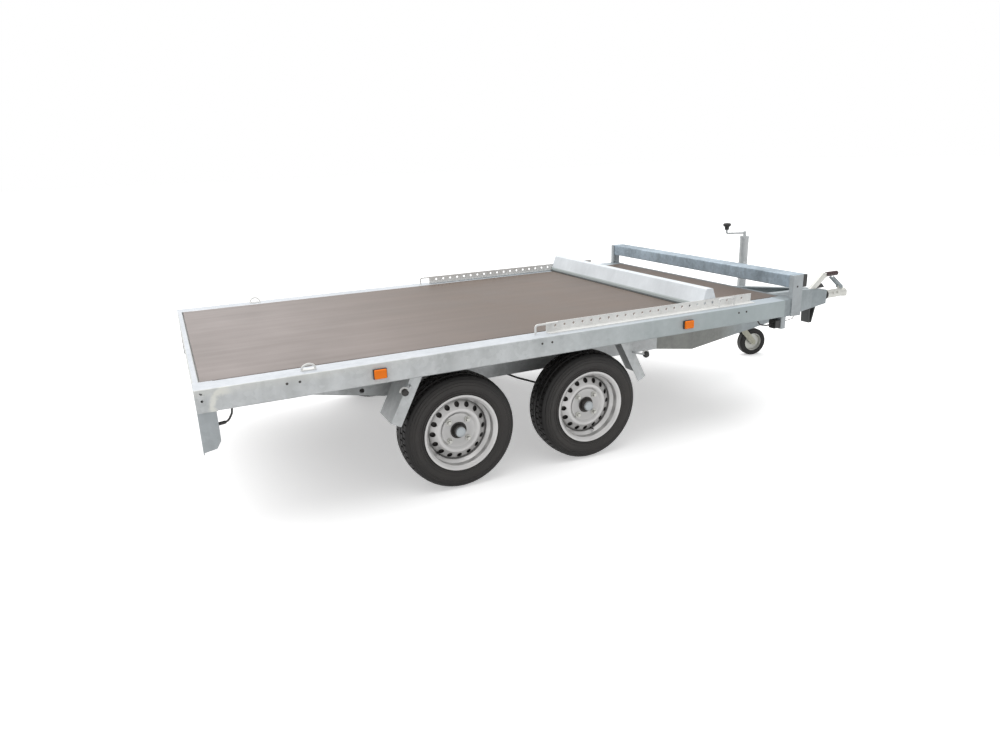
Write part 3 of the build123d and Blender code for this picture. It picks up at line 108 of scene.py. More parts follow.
# Which finish each CAD node wears; a name that ends in _ stands for all nodes that start with it.
NODE_FINISHES = {
    "rail zinc": ("side_rail_", "rear_cross_member"),
    "galvanised zinc": ("chassis_beam_", "axle_beam_", "mudguards", "jockey_clamp", "jockey_tube",
                        "jockey_crank", "deck_bearers"),
    # The grey, blue, nose and shaded zincs are darker copies of the one zinc as painted shade, the
    # pale zinc is a lighter copy as painted light, and the frosted zinc is partly a painted highlight
    "grey zinc": ("front_post_", "lamp_brackets"),
    "blue zinc": ("front_board",),
    "nose zinc": ("overrun_housing", "front_cross_member", "coupling_handle"),
    "shaded zinc": ("drawbar_arm_",),
    "yellow zinc": ("jockey_fork",),
    "pale zinc": ("guide_rail_", "lashing_rings"),
    "bright zinc": ("coupling_head", "handbrake_lever", "brake_linkage", "jockey_leg",
                    "jockey_hub"),
    "frosted zinc": ("wheel_stop",),
    "deck film": ("deck_panel_",),
    "tyre rubber": ("tyre_", "jockey_tyre"),
    "rim silver": ("rim_",),
    "drum black": ("hub_", "brake_backplates", "suspension_arms"),
    "black moulding": ("coupling_bellows", "board_plugs", "jockey_knob", "front_lamps",
                       "guard_knobs", "lamp_leads", "brake_cables"),
    "dark red grip": ("handbrake_grip", "earth_wires"),
    "grey moulding": ("wheel_chock",),
    "red lens": ("tail_lamps",),
    "amber lens": ("side_markers",),
}


def colour(name, description, value):
    return FloatVectorProperty(name=name, description=description, subtype="COLOR", size=4,
                               min=0.0, max=1.0, default=(*value, 1.0))


def length(name, description, value):
    return FloatProperty(name=name, description=description, default=value, min=0.0, unit="LENGTH")


def rotation(name, description, value):
    return FloatProperty(name=name, description=description, default=value, unit="ROTATION")


def number(name, description, value):
    return FloatProperty(name=name, description=description, default=value)


class TrailerFinishes(bpy.types.PropertyGroup):
    """Colours of the trailer's surfaces."""
    zinc_light: colour("Zinc, light", "Bright crystals of galvanised steel", (0.70, 0.72, 0.73))
    zinc_dark: colour("Zinc, dark", "Dull patches of galvanised steel", (0.46, 0.48, 0.48))
    zinc_run: colour("Zinc run", "Pale run where the dipped zinc set", (0.86, 0.86, 0.80))
    # Top flange: pale sky blue for the tops of the rails and the rear member, a painted highlight
    flange: colour("Top flange", "Tops of the rails and the rear member", (0.78, 0.83, 0.96))
    front_zinc: colour("Front zinc", "Cooler front of the rails", (0.38, 0.44, 0.45))
    # Grey zinc: a darker, bluer copy of the zinc for the posts and the lamp guards under the rails,
    # painted shade
    grey_zinc: colour("Grey zinc", "Front posts and rear lamp guards", (0.52, 0.56, 0.58))
    # Blue zinc: a darker copy of the zinc tinted blue, for the board's rear-facing face, painted
    # shade
    blue_zinc: colour("Blue zinc", "Front board", (0.40, 0.485, 0.555))
    # Nose zinc: a darker, bluer copy of the zinc for the overrun housing and front member, painted
    # shade
    nose_zinc: colour("Nose zinc", "Overrun housing and front member", (0.39, 0.44, 0.46))
    shaded_zinc: colour("Shaded zinc", "Drawbar under the deck", (0.33, 0.34, 0.32))
    yellow_zinc: colour("Yellow zinc", "Jockey wheel's fork", (0.66, 0.65, 0.53))
    # Pale zinc: a lighter copy of the zinc for the guides and rings, raised so that their faces in
    # shade still look pale, painted light
    pale_zinc: colour("Pale zinc", "Guides and rings", (0.95, 0.95, 0.93))
    # Frosted zinc: mottled zinc, near white and bluish as a painted highlight of the sky on the
    # stop's slope
    frost: colour("Frosted zinc", "Wheel stop", (0.91, 0.96, 1.0))
    bright_zinc: colour("Bright zinc", "Plated fittings", (0.74, 0.74, 0.70))
    cap_zinc: colour("Cap zinc", "Grease caps", (0.58, 0.62, 0.64))
    deck: colour("Deck film", "Brown film on the plywood", (0.132, 0.096, 0.074))
    # Deck rear sheen: pale colour painted over the rear of the deck as sheen
    deck_rear_sheen: colour("Deck dust", "Pale painted sheen towards the deck's rear", (0.52, 0.47, 0.47))
    # Stop foot: the upright foot of the wheel stop painted darker than its slope, painted shade
    stop_foot_shade: colour("Stop foot shade", "Upright foot of the wheel stop", (0.58, 0.64, 0.64))
    rubber: colour("Rubber", "Tyres", (0.023, 0.022, 0.022))
    silver: colour("Rim silver", "Wheel paint", (0.64, 0.635, 0.63))
    # Inner wheel shade: near black painted over the rim inboard of its middle, painted shade that
    # keeps the vents dark
    inner_wheel_shade: colour("Inner wheel shade", "Inside of the wheels", (0.030, 0.028, 0.026))
    drum: colour("Drum black", "Brake drums", (0.035, 0.034, 0.033))
    black: colour("Black moulding", "Plastic and sheathing", (0.018, 0.018, 0.018))
    grip: colour("Dark red grip", "Brake lever grip", (0.030, 0.004, 0.005))
    chock: colour("Grey moulding", "Wheel chock", (0.119, 0.128, 0.128))
    amber: colour("Amber lens", "Side markers", (1.0, 0.22, 0.004))
    red: colour("Red lens", "Tail lamps", (0.42, 0.008, 0.008))
    clear: colour("Clear lens", "Reversing and front lamps", (0.8, 0.8, 0.8))


class TrailerSizes(bpy.types.PropertyGroup):
    """Sizes of the pieces that are added to the CAD model."""
    tread_steps: IntProperty(name="Tread steps", description="Steps round a tyre", default=216,
                             min=72)
    tread_pitch: IntProperty(name="Tread pitch", description="Steps from one block to the next",
                             default=4, min=2)
    tread_depth: length("Tread depth", "Depth of the grooves", 0.006)
    bolt_head: length("Bolt head", "Half width of a frame bolt's head", 0.0095)
    bolt_height: length("Bolt height", "Height of a frame bolt's head", 0.007)
    wheel_bolt: length("Wheel bolt", "Half width of a wheel bolt's head", 0.0105)
    wheel_bolt_height: length("Wheel bolt height", "Height of a wheel bolt's head", 0.016)
    bolt_circle: length("Bolt circle", "Radius of the wheel bolts' circle", 0.065)
    bolt_turn: rotation("Bolt turn", "Turn of the first wheel bolt", math.pi / 4)
    disc_face: length("Disc face", "Disc's face outboard of the wheel's middle", 0.034)
    cap_radius: length("Grease cap", "Radius of the bright grease cap", 0.0245)
    # Vent shade: a dark disc behind the vents, painted shade seen through them
    vent_shade_radius: length("Drum shield", "Radius of the dark disc of painted shade behind the vents", 0.1435)
    vent_shade_place: length("Vent shade place", "Shield's face outboard of the wheel's middle", 0.004)
    # Hub shade ring: a dark ring on the disc, painted shade of a wider centre bore
    hub_ring: length("Hub ring", "Radius of the ring of painted shade round a hub", 0.0405)
    valve_circle: length("Valve circle", "Radius of the valve's place", 0.141)
    rear_valve: rotation("Rear valves", "Turn of the rear valves", -2.4)
    front_valve: rotation("Front valves", "Turn of the front valves", -1.3)
    lever_width: length("Lever width", "Width of the pressed brake lever", 0.024)
    grip_radius: length("Grip radius", "Radius of the ribbed brake grip", 0.0172)
    sector_radius: length("Lever sector", "Half length of the plate at the lever's foot", 0.046)
    clamp_turn: rotation("Clamp turn", "Turn of the jockey wheel's clamp", math.radians(14.66))
    button_radius: length("Button head", "Radius of the button heads in the rails", 0.0055)


class TrailerStage(bpy.types.PropertyGroup):
    """Camera, floor and light."""
    camera_place: FloatVectorProperty(name="Camera", description="Place of the camera", size=3,
                                      unit="LENGTH", default=(-2.2974, -3.6499, 1.4889))
    camera_yaw: rotation("Yaw", "Turn of the camera from +Y towards +X", 0.43504)
    camera_pitch: rotation("Pitch", "Tilt of the camera", -0.30111)
    camera_roll: rotation("Roll", "Roll of the camera", -0.03403)
    camera_lens: number("Lens", "Focal length in millimetres", 25.516)
    floor_size: length("Floor", "Side of the floor", 120.0)
    floor_colour: colour("Floor", "Pale floor", (0.97, 0.97, 0.97))
    bounce_colour: colour("Bounce", "Light that the floor sends back", (0.34, 0.34, 0.34))
    floor_glow: number("Floor glow", "How far the floor's shadow is lifted", 0.42)
    sky_level: number("Sky", "Level of the soft light all round", 0.60)
    key_level: number("Key", "Level of the soft sun overhead", 1.9)
    key_spread: rotation("Key spread", "How wide the soft sun is", 1.4)


# Nodes

def feed(node, inputs):
    """Set constants on a node's sockets, and link other sockets to them."""
    for socket, value in inputs.items():
        if isinstance(value, bpy.types.NodeSocket):
            node.id_data.links.new(value, node.inputs[socket])
        else:
            node.inputs[socket].default_value = value
    return node


def add_node(tree, kind, inputs=None, **settings):
    node = tree.nodes.new(kind)
    for key, value in settings.items():
        setattr(node, key, value)
    return feed(node, inputs or {})


def maths(tree, operation, a, b=0.0, clamp=False):
    node = add_node(tree, "ShaderNodeMath", {0: a, 1: b}, operation=operation, use_clamp=clamp)
    return node.outputs[0]


def times(tree, *values):
    """Product of several values."""
    result = values[0]
    for value in values[1:]:
        result = maths(tree, "MULTIPLY", result, value)
    return result


def blend(tree, factor, a, b):
    node = add_node(tree, "ShaderNodeMix", {0: factor, 6: a, 7: b}, data_type="RGBA")
    return node.outputs[2]


def ramp(tree, value, start, stop, top=1.0):
    """Smooth step from 0 at one value to the top at another."""
    inputs = {"Value": value, "From Min": start, "From Max": stop, "To Max": top}
    return add_node(tree, "ShaderNodeMapRange", inputs, interpolation_type="SMOOTHSTEP").outputs[0]


def spread(tree, value, low, high):
    """A value of 0 to 1 as one between two others."""
    inputs = {"Value": value, "To Min": low, "To Max": high}
    return add_node(tree, "ShaderNodeMapRange", inputs).outputs[0]


def object_place(tree):
    return add_node(tree, "ShaderNodeTexCoord").outputs["Object"]


def axes_of(tree, place):
    return add_node(tree, "ShaderNodeSeparateXYZ", {0: place}).outputs


def noise(tree, place, scale, detail):
    inputs = {"Vector": place, "Scale": scale, "Detail": detail}
    return add_node(tree, "ShaderNodeTexNoise", inputs).outputs["Fac"]


def stretched(tree, place, scale):
    return add_node(tree, "ShaderNodeMapping", {"Vector": place, "Scale": scale}).outputs["Vector"]


def waves(tree, place, scale, direction):
    inputs = {"Vector": place, "Scale": scale}
    return add_node(tree, "ShaderNodeTexWave", inputs, bands_direction=direction).outputs["Fac"]


def group_node(tree, group, inputs):
    return add_node(tree, "ShaderNodeGroup", inputs, node_tree=group)


def shader_group(name, inputs, outputs):
    """An empty group with its sockets, its input node and its output node."""
    tree = bpy.data.node_groups.new(name, "ShaderNodeTree")
    for label, value in inputs.items():
        kind = "NodeSocketColor" if isinstance(value, tuple) else "NodeSocketFloat"
        socket = tree.interface.new_socket(label, in_out="INPUT", socket_type=kind)
        socket.default_value = value
    for label in outputs:
        kind = "NodeSocketColor" if label == "Color" else "NodeSocketFloat"
        tree.interface.new_socket(label, in_out="OUTPUT", socket_type=kind)
    return tree, tree.nodes.new("NodeGroupInput"), tree.nodes.new("NodeGroupOutput")


def zinc_bloom():
    """Crystals, cloudy patches and runs of a zinc coat."""
    tree, given, result = shader_group(
        "Zinc bloom", {"Light": (0.6, 0.6, 0.6, 1), "Dark": (0.4, 0.4, 0.4, 1), "Crystals": 0.25,
                       "Clouds": 1.2, "Runs": 0.6}, ("Color", "Roughness"))
    place = object_place(tree)
    cells = add_node(tree, "ShaderNodeTexVoronoi", {"Vector": place, "Scale": 60.0})
    crystal = add_node(tree, "ShaderNodeSeparateColor", {0: cells.outputs["Color"]}).outputs[0]
    clouds = noise(tree, place, 4.5, 5.0)
    runs = noise(tree, stretched(tree, place, (22.0, 22.0, 3.0)), 1.0, 2.0)
    mix = 0.5
    for value, strength in ((crystal, "Crystals"), (clouds, "Clouds"), (runs, "Runs")):
        part = times(tree, maths(tree, "SUBTRACT", value, 0.5), given.outputs[strength])
        mix = maths(tree, "ADD", part, mix, clamp=strength == "Runs")
    feed(result, {"Color": blend(tree, mix, given.outputs["Dark"], given.outputs["Light"]),
                  "Roughness": spread(tree, mix, 0.62, 0.42)})
    return tree


def road_dust():
    """Dry dust that gathers in patches, as a colour over a base colour."""
    tree, given, result = shader_group(
        "Road dust", {"Base": (0.1, 0.1, 0.1, 1), "Dust": (0.3, 0.28, 0.25, 1), "Amount": 0.3,
                      "Scale": 14.0}, ("Color", "Mask"))
    patches = noise(tree, object_place(tree), given.outputs["Scale"], 6.0)
    mask = maths(tree, "MULTIPLY", patches, given.outputs["Amount"], clamp=True)
    feed(result, {"Color": blend(tree, mask, given.outputs["Base"], given.outputs["Dust"]),
                  "Mask": mask})
    return tree


def wheel_radius():
    """Distance of a place from its own wheel's axis, whichever wheel it is on."""
    tree, _, result = shader_group("Wheel radius", {}, ("Radius",))
    axes = axes_of(tree, object_place(tree))
    rear, front = middle_of("rim_rear_left"), middle_of("rim_front_left")
    runs = [maths(tree, "ABSOLUTE", maths(tree, "SUBTRACT", axes["X"], hub.x))
            for hub in (rear, front)]
    run = maths(tree, "MINIMUM", *runs)
    rise = maths(tree, "SUBTRACT", axes["Z"], rear.z)
    squares = maths(tree, "ADD", times(tree, run, run), times(tree, rise, rise))
    feed(result, {"Radius": maths(tree, "SQRT", squares)})
    return tree


def pale_run():
    """Mask of a pale run on the right rail: a band of an ellipse from its top edge to its foot."""
    tree, given, result = shader_group(
        "Pale run", {"Middle X": -2.160, "Middle Z": 0.600, "Reach X": 0.069, "Reach Z": 0.082},
        ("Mask",))
    place = object_place(tree)
    axes = axes_of(tree, place)
    squares = []
    for axis in "XZ":
        arm = maths(tree, "SUBTRACT", axes[axis], given.outputs[f"Middle {axis}"])
        share = maths(tree, "DIVIDE", arm, given.outputs[f"Reach {axis}"])
        squares.append(maths(tree, "POWER", maths(tree, "ABSOLUTE", share), 2.0))
    reach = maths(tree, "SQRT", maths(tree, "ADD", *squares))
    wander = times(tree, noise(tree, place, 38.0, 3.0), 0.5)
    band = maths(tree, "SUBTRACT", maths(tree, "ADD", reach, wander), 1.08)
    mask = ramp(tree, maths(tree, "ABSOLUTE", band), 0.30, 0.06, 0.8)
    ahead = maths(tree, "SUBTRACT", axes["X"], given.outputs["Middle X"])
    below_edge = maths(tree, "SUBTRACT", given.outputs["Reach Z"], 0.001)
    top = maths(tree, "ADD", given.outputs["Middle Z"], below_edge)
    mask = times(tree, mask, ramp(tree, ahead, 0.035, -0.025),
                 maths(tree, "LESS_THAN", axes["Z"], top), maths(tree, "LESS_THAN", axes["Y"], 0.0))
    feed(result, {"Mask": mask})
    return tree


# Finishes

def new_finish(name):
    material = bpy.data.materials.new(name)
    material.use_nodes = True
    return material.node_tree, material.node_tree.nodes["Principled BSDF"]


def bump(tree, shader, height, strength, distance):
    inputs = {"Height": height, "Strength": strength, "Distance": distance}
    feed(shader, {"Normal": add_node(tree, "ShaderNodeBump", inputs).outputs["Normal"]})


def shade(value, level):
    """A colour made lighter or darker."""
    return tuple(min(level * c, 1.0) for c in value[:3]) + (1.0,)


def part_of(tree, axis, start, stop):
    """Mask that goes from 0 to 1 along an axis of the trailer."""
    value = axes_of(tree, object_place(tree))[axis]
    if axis == "Y":
        value = maths(tree, "ABSOLUTE", value)
    return ramp(tree, value, start, stop)


def zinc_finish(name, group, light, dark, metallic, crystals=0.25, clouds=1.2, runs=0.6):
    """Zinc coat with its bloom; gives back the tree, its shader and the colour so far."""
    tree, shader = new_finish(name)
    bloom = group_node(tree, group, {"Light": light, "Dark": dark, "Crystals": crystals,
                                     "Clouds": clouds, "Runs": runs})
    feed(shader, {"Base Color": bloom.outputs["Color"], "Roughness": bloom.outputs["Roughness"],
                  "Metallic": metallic})
    bump(tree, shader, noise(tree, object_place(tree), 90.0, 2.0), 0.12, 0.001)
    return tree, shader, bloom.outputs["Color"]


def rail_finish(group, light, dark, front, pale, flange):
    """Zinc with a painted highlight along the top flange, cooler to the front, and with pale runs
    near the rear.
    """
    tree, shader, base = zinc_finish("rail zinc", group, light, dark, 0.35)
    low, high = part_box("side_rail_left")
    cool = part_of(tree, "X", 0.68 * low.x + 0.32 * high.x, high.x - 0.3)
    base = blend(tree, times(tree, cool, 0.85), base, front)
    streaks = noise(tree, stretched(tree, object_place(tree), (5.0, 1.0, 14.0)), 1.0, 4.0)
    top = part_of(tree, "Z", high.z - 0.0012, high.z - 0.0004)
    streaks = times(tree, streaks, 0.6, part_of(tree, "Z", high.z - 0.045, high.z - 0.005),
                    part_of(tree, "X", low.x + 1.1, low.x + 0.3),
                    maths(tree, "SUBTRACT", 1.0, top))
    base = blend(tree, streaks, base, pale)
    run = group_node(tree, pale_run(), {})
    base = blend(tree, run.outputs["Mask"], base, pale)
    # Painted highlight: the top edge goes a quarter of the way to the flange's pale sky blue
    feed(shader, {"Base Color": blend(tree, times(tree, top, 0.24), base, flange)})


def drawbar_finish(group, under, ahead):
    """Zinc painted darker as shade under the deck, and lighter ahead of it where the painted shade
    ends.
    """
    tree, _, base = zinc_finish("shaded zinc", group, under, shade(under, 0.70), 0.25)
    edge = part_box("front_cross_member")[1].x
    # Mask that ends the painted shade ahead of the front member
    out_of_shade = part_of(tree, "X", edge - 0.1, edge + 0.25)
    for socket, level in (("Light", 1.0), ("Dark", 0.70)):
        tone = blend(tree, out_of_shade, shade(under, level), shade(ahead, level))
        feed(base.node, {socket: tone})


def stop_finish(group, frost, foot):
    """Mottled frosted zinc with a painted highlight, over a foot and a line along the deck of painted
    shade.
    """
    tree, shader, base = zinc_finish("frosted zinc", group, frost, shade(frost, 0.78), 0.1, 0.1,
                                     1.6, 0.5)
    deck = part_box("wheel_stop")[0].z
    # Painted shade: the foot below the slope takes the darker foot colour
    base = blend(tree, part_of(tree, "Z", deck + 0.023, deck + 0.027), foot, base)
    # Painted shade: a near-black line where the stop meets the deck
    out_of_shade = part_of(tree, "Z", deck + 0.005, deck + 0.008)
    feed(shader, {"Base Color": blend(tree, out_of_shade, shade(foot, 0.15), base)})


def dusty_finish(name, group, base, dust, amount, scale, roughness, grain=0.0):
    """Dull surface under road dust; gives back the tree, its shader and the colour so far."""
    tree, shader = new_finish(name)
    layer = group_node(tree, group, {"Base": base, "Dust": dust, "Amount": amount, "Scale": scale})
    rough = spread(tree, layer.outputs["Mask"], roughness, min(roughness + 0.35, 1.0))
    feed(shader, {"Base Color": layer.outputs["Color"], "Roughness": rough})
    if grain:
        bump(tree, shader, noise(tree, object_place(tree), 260.0, 2.0), grain, 0.001)
    return tree, shader, layer.outputs["Color"]


def rim_finish(group, radius, silver, dust):
    """Wheel paint, darker towards the hub, with painted shade in its well and dark painted shade
    inboard of its middle.
    """
    tree, shader, base = dusty_finish("rim silver", group, silver, PALE_EARTH, 0.18, 18.0, 0.30)
    out = group_node(tree, radius, {}).outputs["Radius"]
    # Darker towards the hub, and painted shade in the crease between the disc and the barrel
    for start, stop, amount in RIM_DARKENING:
        darkening = ramp(tree, out, start, stop, amount)
        if start < stop:
            darkening = times(tree, darkening, maths(tree, "LESS_THAN", out, RIM_WELL_EDGE))
        base = blend(tree, darkening, base, shade(silver, 0.42))
    low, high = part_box("rim_rear_left")
    middle = (low.y + high.y) / 2
    # Painted shade: the rim inboard of its middle is near black, so that the vents look dark
    outside = part_of(tree, "Y", middle + 0.006, middle + 0.016)
    feed(shader, {"Base Color": blend(tree, outside, dust, base), "Metallic": 0.5})


def tyre_finish(group, radius, rubber):
    """Dusty rubber, blacker towards the shoulder."""
    tree, shader, base = dusty_finish("tyre rubber", group, rubber, EARTH, 0.22, 9.0, 0.46, 0.15)
    out = group_node(tree, radius, {}).outputs["Radius"]
    shoulder = ramp(tree, out, 0.225, 0.268, 0.8)
    feed(shader, {"Base Color": blend(tree, shoulder, base, shade(rubber, 0.45)),
                  "Specular IOR Level": 0.32})


def deck_finish(base, dust):
    """Film on plywood: lengthwise streaks, blotches, a pale painted sheen towards the rear and a fine
    pressed mesh.
    """
    tree, shader = new_finish("deck film")
    place = object_place(tree)
    streaks = noise(tree, stretched(tree, place, (0.9, 15.0, 1.0)), 1.0, 5.0)
    blotches = noise(tree, place, 3.0, 6.0)
    mix = maths(tree, "ADD", times(tree, streaks, 0.5), times(tree, blotches, 0.7))
    tone = maths(tree, "SUBTRACT", mix, 0.1, clamp=True)
    film = blend(tree, tone, shade(base, 0.68), shade(base, 1.34))
    low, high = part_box("deck_panel_rear")
    rear = part_of(tree, "X", low.x + 0.66 * (high.x - low.x), low.x + 0.05)
    # Painted sheen: the deck goes patchily paler towards its rear
    rear_sheen = maths(tree, "MULTIPLY", rear, times(tree, mix, 0.62), clamp=True)
    feed(shader, {"Base Color": blend(tree, rear_sheen, film, dust),
                  "Roughness": spread(tree, blotches, 0.36, 0.52)})
    bump(tree, shader, waves(tree, place, 60.0, "DIAGONAL"), 0.05, 0.0005)


def lens_finish(name, base):
    """Moulded lens with faint prisms behind its gloss, and a faint painted glow though the lamp is
    not lit.
    """
    tree, shader = new_finish(name)
    prisms = waves(tree, object_place(tree), 70.0, "Z")
    feed(shader, {"Base Color": blend(tree, prisms, shade(base, 0.82), base),
                  "Roughness": 0.24, "Specular IOR Level": 0.25,
                  # Painted glow: the lens gives off a little of its own colour
                  "Emission Color": base, "Emission Strength": 0.22})


class TRAILER_OT_finishes(bpy.types.Operator):
    """Make the finishes and put them on the CAD nodes"""
    bl_idname = "trailer.finishes"
    bl_label = "Finishes"

    def zincs(self, want):
        zinc = zinc_bloom()
        rail_finish(zinc, want.zinc_light, want.zinc_dark, want.front_zinc, want.zinc_run,
                    want.flange)
        zinc_finish("galvanised zinc", zinc, want.zinc_light, want.zinc_dark, 0.35)
        # The grey and nose zincs are darker copies of the zinc as painted shade; the yellow zinc is
        # the fork's own plating
        for tone in ("grey", "nose", "yellow"):
            value = getattr(want, f"{tone}_zinc")
            zinc_finish(f"{tone} zinc", zinc, value, shade(value, 0.70), 0.25)
        # Painted light: a lighter copy of the zinc for the guides, rings and bails
        zinc_finish("pale zinc", zinc, want.pale_zinc, shade(want.pale_zinc, 0.80), 0.05)
        drawbar_finish(zinc, want.shaded_zinc, want.nose_zinc)
        blue, bright, cap = want.blue_zinc, want.bright_zinc, want.cap_zinc
        # Painted shade: the board's zinc darker and bluer than the rest
        zinc_finish("blue zinc", zinc, shade(blue, 1.14), shade(blue, 0.60), 0.25, 0.4, 2.0, 0.9)
        stop_finish(zinc, want.frost, want.stop_foot_shade)
        zinc_finish("bright zinc", zinc, bright, shade(bright, 0.7), 0.6, 0.05, 0.6, 0.2)
        zinc_finish("cap zinc", zinc, cap, shade(cap, 0.6), 0.7, 0.05, 0.8, 0.1)

    def others(self, want):
        dust, radius = road_dust(), wheel_radius()
        deck_finish(want.deck, want.deck_rear_sheen)
        tyre_finish(dust, radius, want.rubber)
        rim_finish(dust, radius, want.silver, want.inner_wheel_shade)
        dusty_finish("drum black", dust, want.drum, EARTH, 0.30, 22.0, 0.55)
        dusty_finish("black moulding", dust, want.black, EARTH, 0.10, 20.0, 0.45, 0.05)
        dusty_finish("dark red grip", dust, want.grip, EARTH, 0.06, 30.0, 0.40, 0.05)
        dusty_finish("grey moulding", dust, want.chock, EARTH, 0.25, 16.0, 0.60, 0.12)
        for tint in ("red", "amber", "clear"):
            lens_finish(f"{tint} lens", getattr(want, tint))

    def execute(self, context):
        want = context.scene.trailer_finishes
        self.zincs(want)
        self.others(want)
        dressed = set()
        for finish, wearers in NODE_FINISHES.items():
            for node, piece in NODES.items():
                if any(node == w or (w.endswith("_") and node.startswith(w)) for w in wearers):
                    piece.data.materials.clear()
                    piece.data.materials.append(bpy.data.materials[finish])
                    dressed.add(node)
        left = sorted(set(NODES) - dressed)
        if left:
            raise RuntimeError(f"these nodes have no finish: {left}")
        return {"FINISHED"}


# Modelling

def deselect():
    bpy.ops.object.select_all(action="DESELECT")


def apply_place():
    bpy.ops.object.transform_apply(location=True, rotation=True, scale=True)


def start_edit(obj, mode="VERT"):
    """Edit a piece with all of its mesh selected."""
    bpy.context.view_layer.objects.active = obj
    bpy.ops.object.mode_set(mode="EDIT")
    bpy.ops.mesh.select_mode(type=mode)
    select_mesh()


def end_edit():
    bpy.ops.object.mode_set(mode="OBJECT")


def select_mesh():
    bpy.ops.mesh.select_all(action="SELECT")


def weld():
    select_mesh()
    bpy.ops.mesh.remove_doubles(threshold=0.00001)


def select_faces(obj, test):
    """In edit mode, select the faces whose middle passes a test."""
    bpy.ops.mesh.select_all(action="DESELECT")
    end_edit()
    for face in obj.data.polygons:
        face.select = test(face.center)
    bpy.ops.object.mode_set(mode="EDIT")


def finish_piece(obj, name, finish, body=MAIN_BODY, angle=35.0):
    """Close the mesh, apply its place, and set its name, finish, shading and body."""
    start_edit(obj)
    weld()
    bpy.ops.mesh.normals_make_consistent(inside=False)
    end_edit()
    deselect()
    obj.select_set(True)
    bpy.context.view_layer.objects.active = obj
    apply_place()
    bpy.ops.object.shade_smooth_by_angle(angle=math.radians(angle))
    obj.name = obj.data.name = name
    obj.data.materials.clear()
    obj.data.materials.append(bpy.data.materials[finish])
    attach(obj, body)
    return obj


def drawn(place, steps):
    """A vertex that is extruded step by step from a place, left in edit mode and selected."""
    deselect()
    bpy.ops.mesh.primitive_plane_add(size=0.001, location=place)
    obj = bpy.context.object
    start_edit(obj)
    bpy.ops.mesh.merge(type="CENTER")
    for step in steps:
        bpy.ops.mesh.extrude_region_move(TRANSFORM_OT_translate={"value": step})
    select_mesh()
    return obj


def spun(points, segments, place=(0, 0, 0), axis=(0, 0, 1)):
    """Draw a section and spin it. Points are radius and reach along the axis."""
    axis = Vector(axis)
    arm = axis.orthogonal().normalized()
    first = Vector(place) + points[0][0] * arm + points[0][1] * axis
    obj = drawn(first, [(r1 - r0) * arm + (h1 - h0) * axis
                        for (r0, h0), (r1, h1) in zip(points, points[1:])])
    bpy.ops.mesh.spin(steps=segments, angle=2 * math.pi, center=place, axis=axis)
    weld()
    end_edit()
    apply_place()
    return obj


def plate(points, start, stop, edge):
    """Outline in X and Z, extruded along Y, with its edges rounded."""
    obj = drawn((points[0][0], start, points[0][1]),
                [(x1 - x0, 0, z1 - z0) for (x0, z0), (x1, z1) in zip(points, points[1:])])
    bpy.ops.mesh.edge_face_add()
    bpy.ops.mesh.extrude_region_move(TRANSFORM_OT_translate={"value": (0, stop - start, 0)})
    select_mesh()
    bpy.ops.mesh.normals_make_consistent(inside=False)
    bpy.ops.mesh.bevel(offset=edge, segments=2, affect="EDGES")
    end_edit()
    apply_place()
    return obj


def moulded_box(low, high, edge):
    """Box between two corners with rounded edges."""
    low, high = Vector(low), Vector(high)
    deselect()
    bpy.ops.mesh.primitive_cube_add(size=1.0, location=(low + high) / 2, scale=high - low)
    obj = bpy.context.object
    apply_place()
    start_edit(obj, "EDGE")
    bpy.ops.mesh.bevel(offset=edge, segments=3, affect="EDGES")
    end_edit()
    return obj


def bail(reach, thick):
    """Half ring of round bar that stands over the origin, in X and Z."""
    deselect()
    bpy.ops.mesh.primitive_circle_add(vertices=12, radius=thick, fill_type="NGON",
                                      location=(reach, 0, 0))
    obj = bpy.context.object
    start_edit(obj)
    bpy.ops.mesh.spin(steps=14, angle=math.pi, center=(0, 0, 0), axis=(0, 1, 0))
    end_edit()
    apply_place()
    if sum(v.co.z for v in obj.data.vertices) < 0:
        obj.data.transform(Matrix.Rotation(math.pi, 4, "X"))
    return obj


def joined(pieces):
    """Join several pieces into the first."""
    deselect()
    for piece in pieces:
        piece.select_set(True)
    bpy.context.view_layer.objects.active = pieces[0]
    apply_place()
    bpy.ops.object.join()
    return pieces[0]


def copy_to(obj, moves):
    """Copies of a piece with their own meshes, moved by matrices; the piece itself goes."""
    copies = []
    for move in moves:
        copy = obj.copy()
        copy.data = obj.data.copy()
        bpy.context.scene.collection.objects.link(copy)
        copy.data.transform(move)
        copies.append(copy)
    bpy.data.objects.remove(obj)
    return copies


def set_out(pattern, spots):
    """Copies of a pattern at places with axes, joined into one piece."""
    moves = []
    for place, axis in spots:
        turn = Vector((0, 0, 1)).rotation_difference(Vector(axis)).to_matrix().to_4x4()
        moves.append(Matrix.Translation(place) @ turn)
    copies = copy_to(pattern, moves)
    return joined(copies) if len(copies) > 1 else copies[0]


def middle_of(node):
    low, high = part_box(node)
    return (low + high) / 2


def quarters(node, along=False):
    """Boxes of a node's pieces to the left and right, and also ahead of and behind its middle."""
    middle = middle_of(node)
    groups = {}
    for vertex in NODES[node].data.vertices:
        key = (vertex.co.y > middle.y, along and vertex.co.x > middle.x)
        groups.setdefault(key, []).append(vertex.co)
    return [(Vector(map(min, zip(*places))), Vector(map(max, zip(*places))))
            for places in groups.values()]


# Tyres

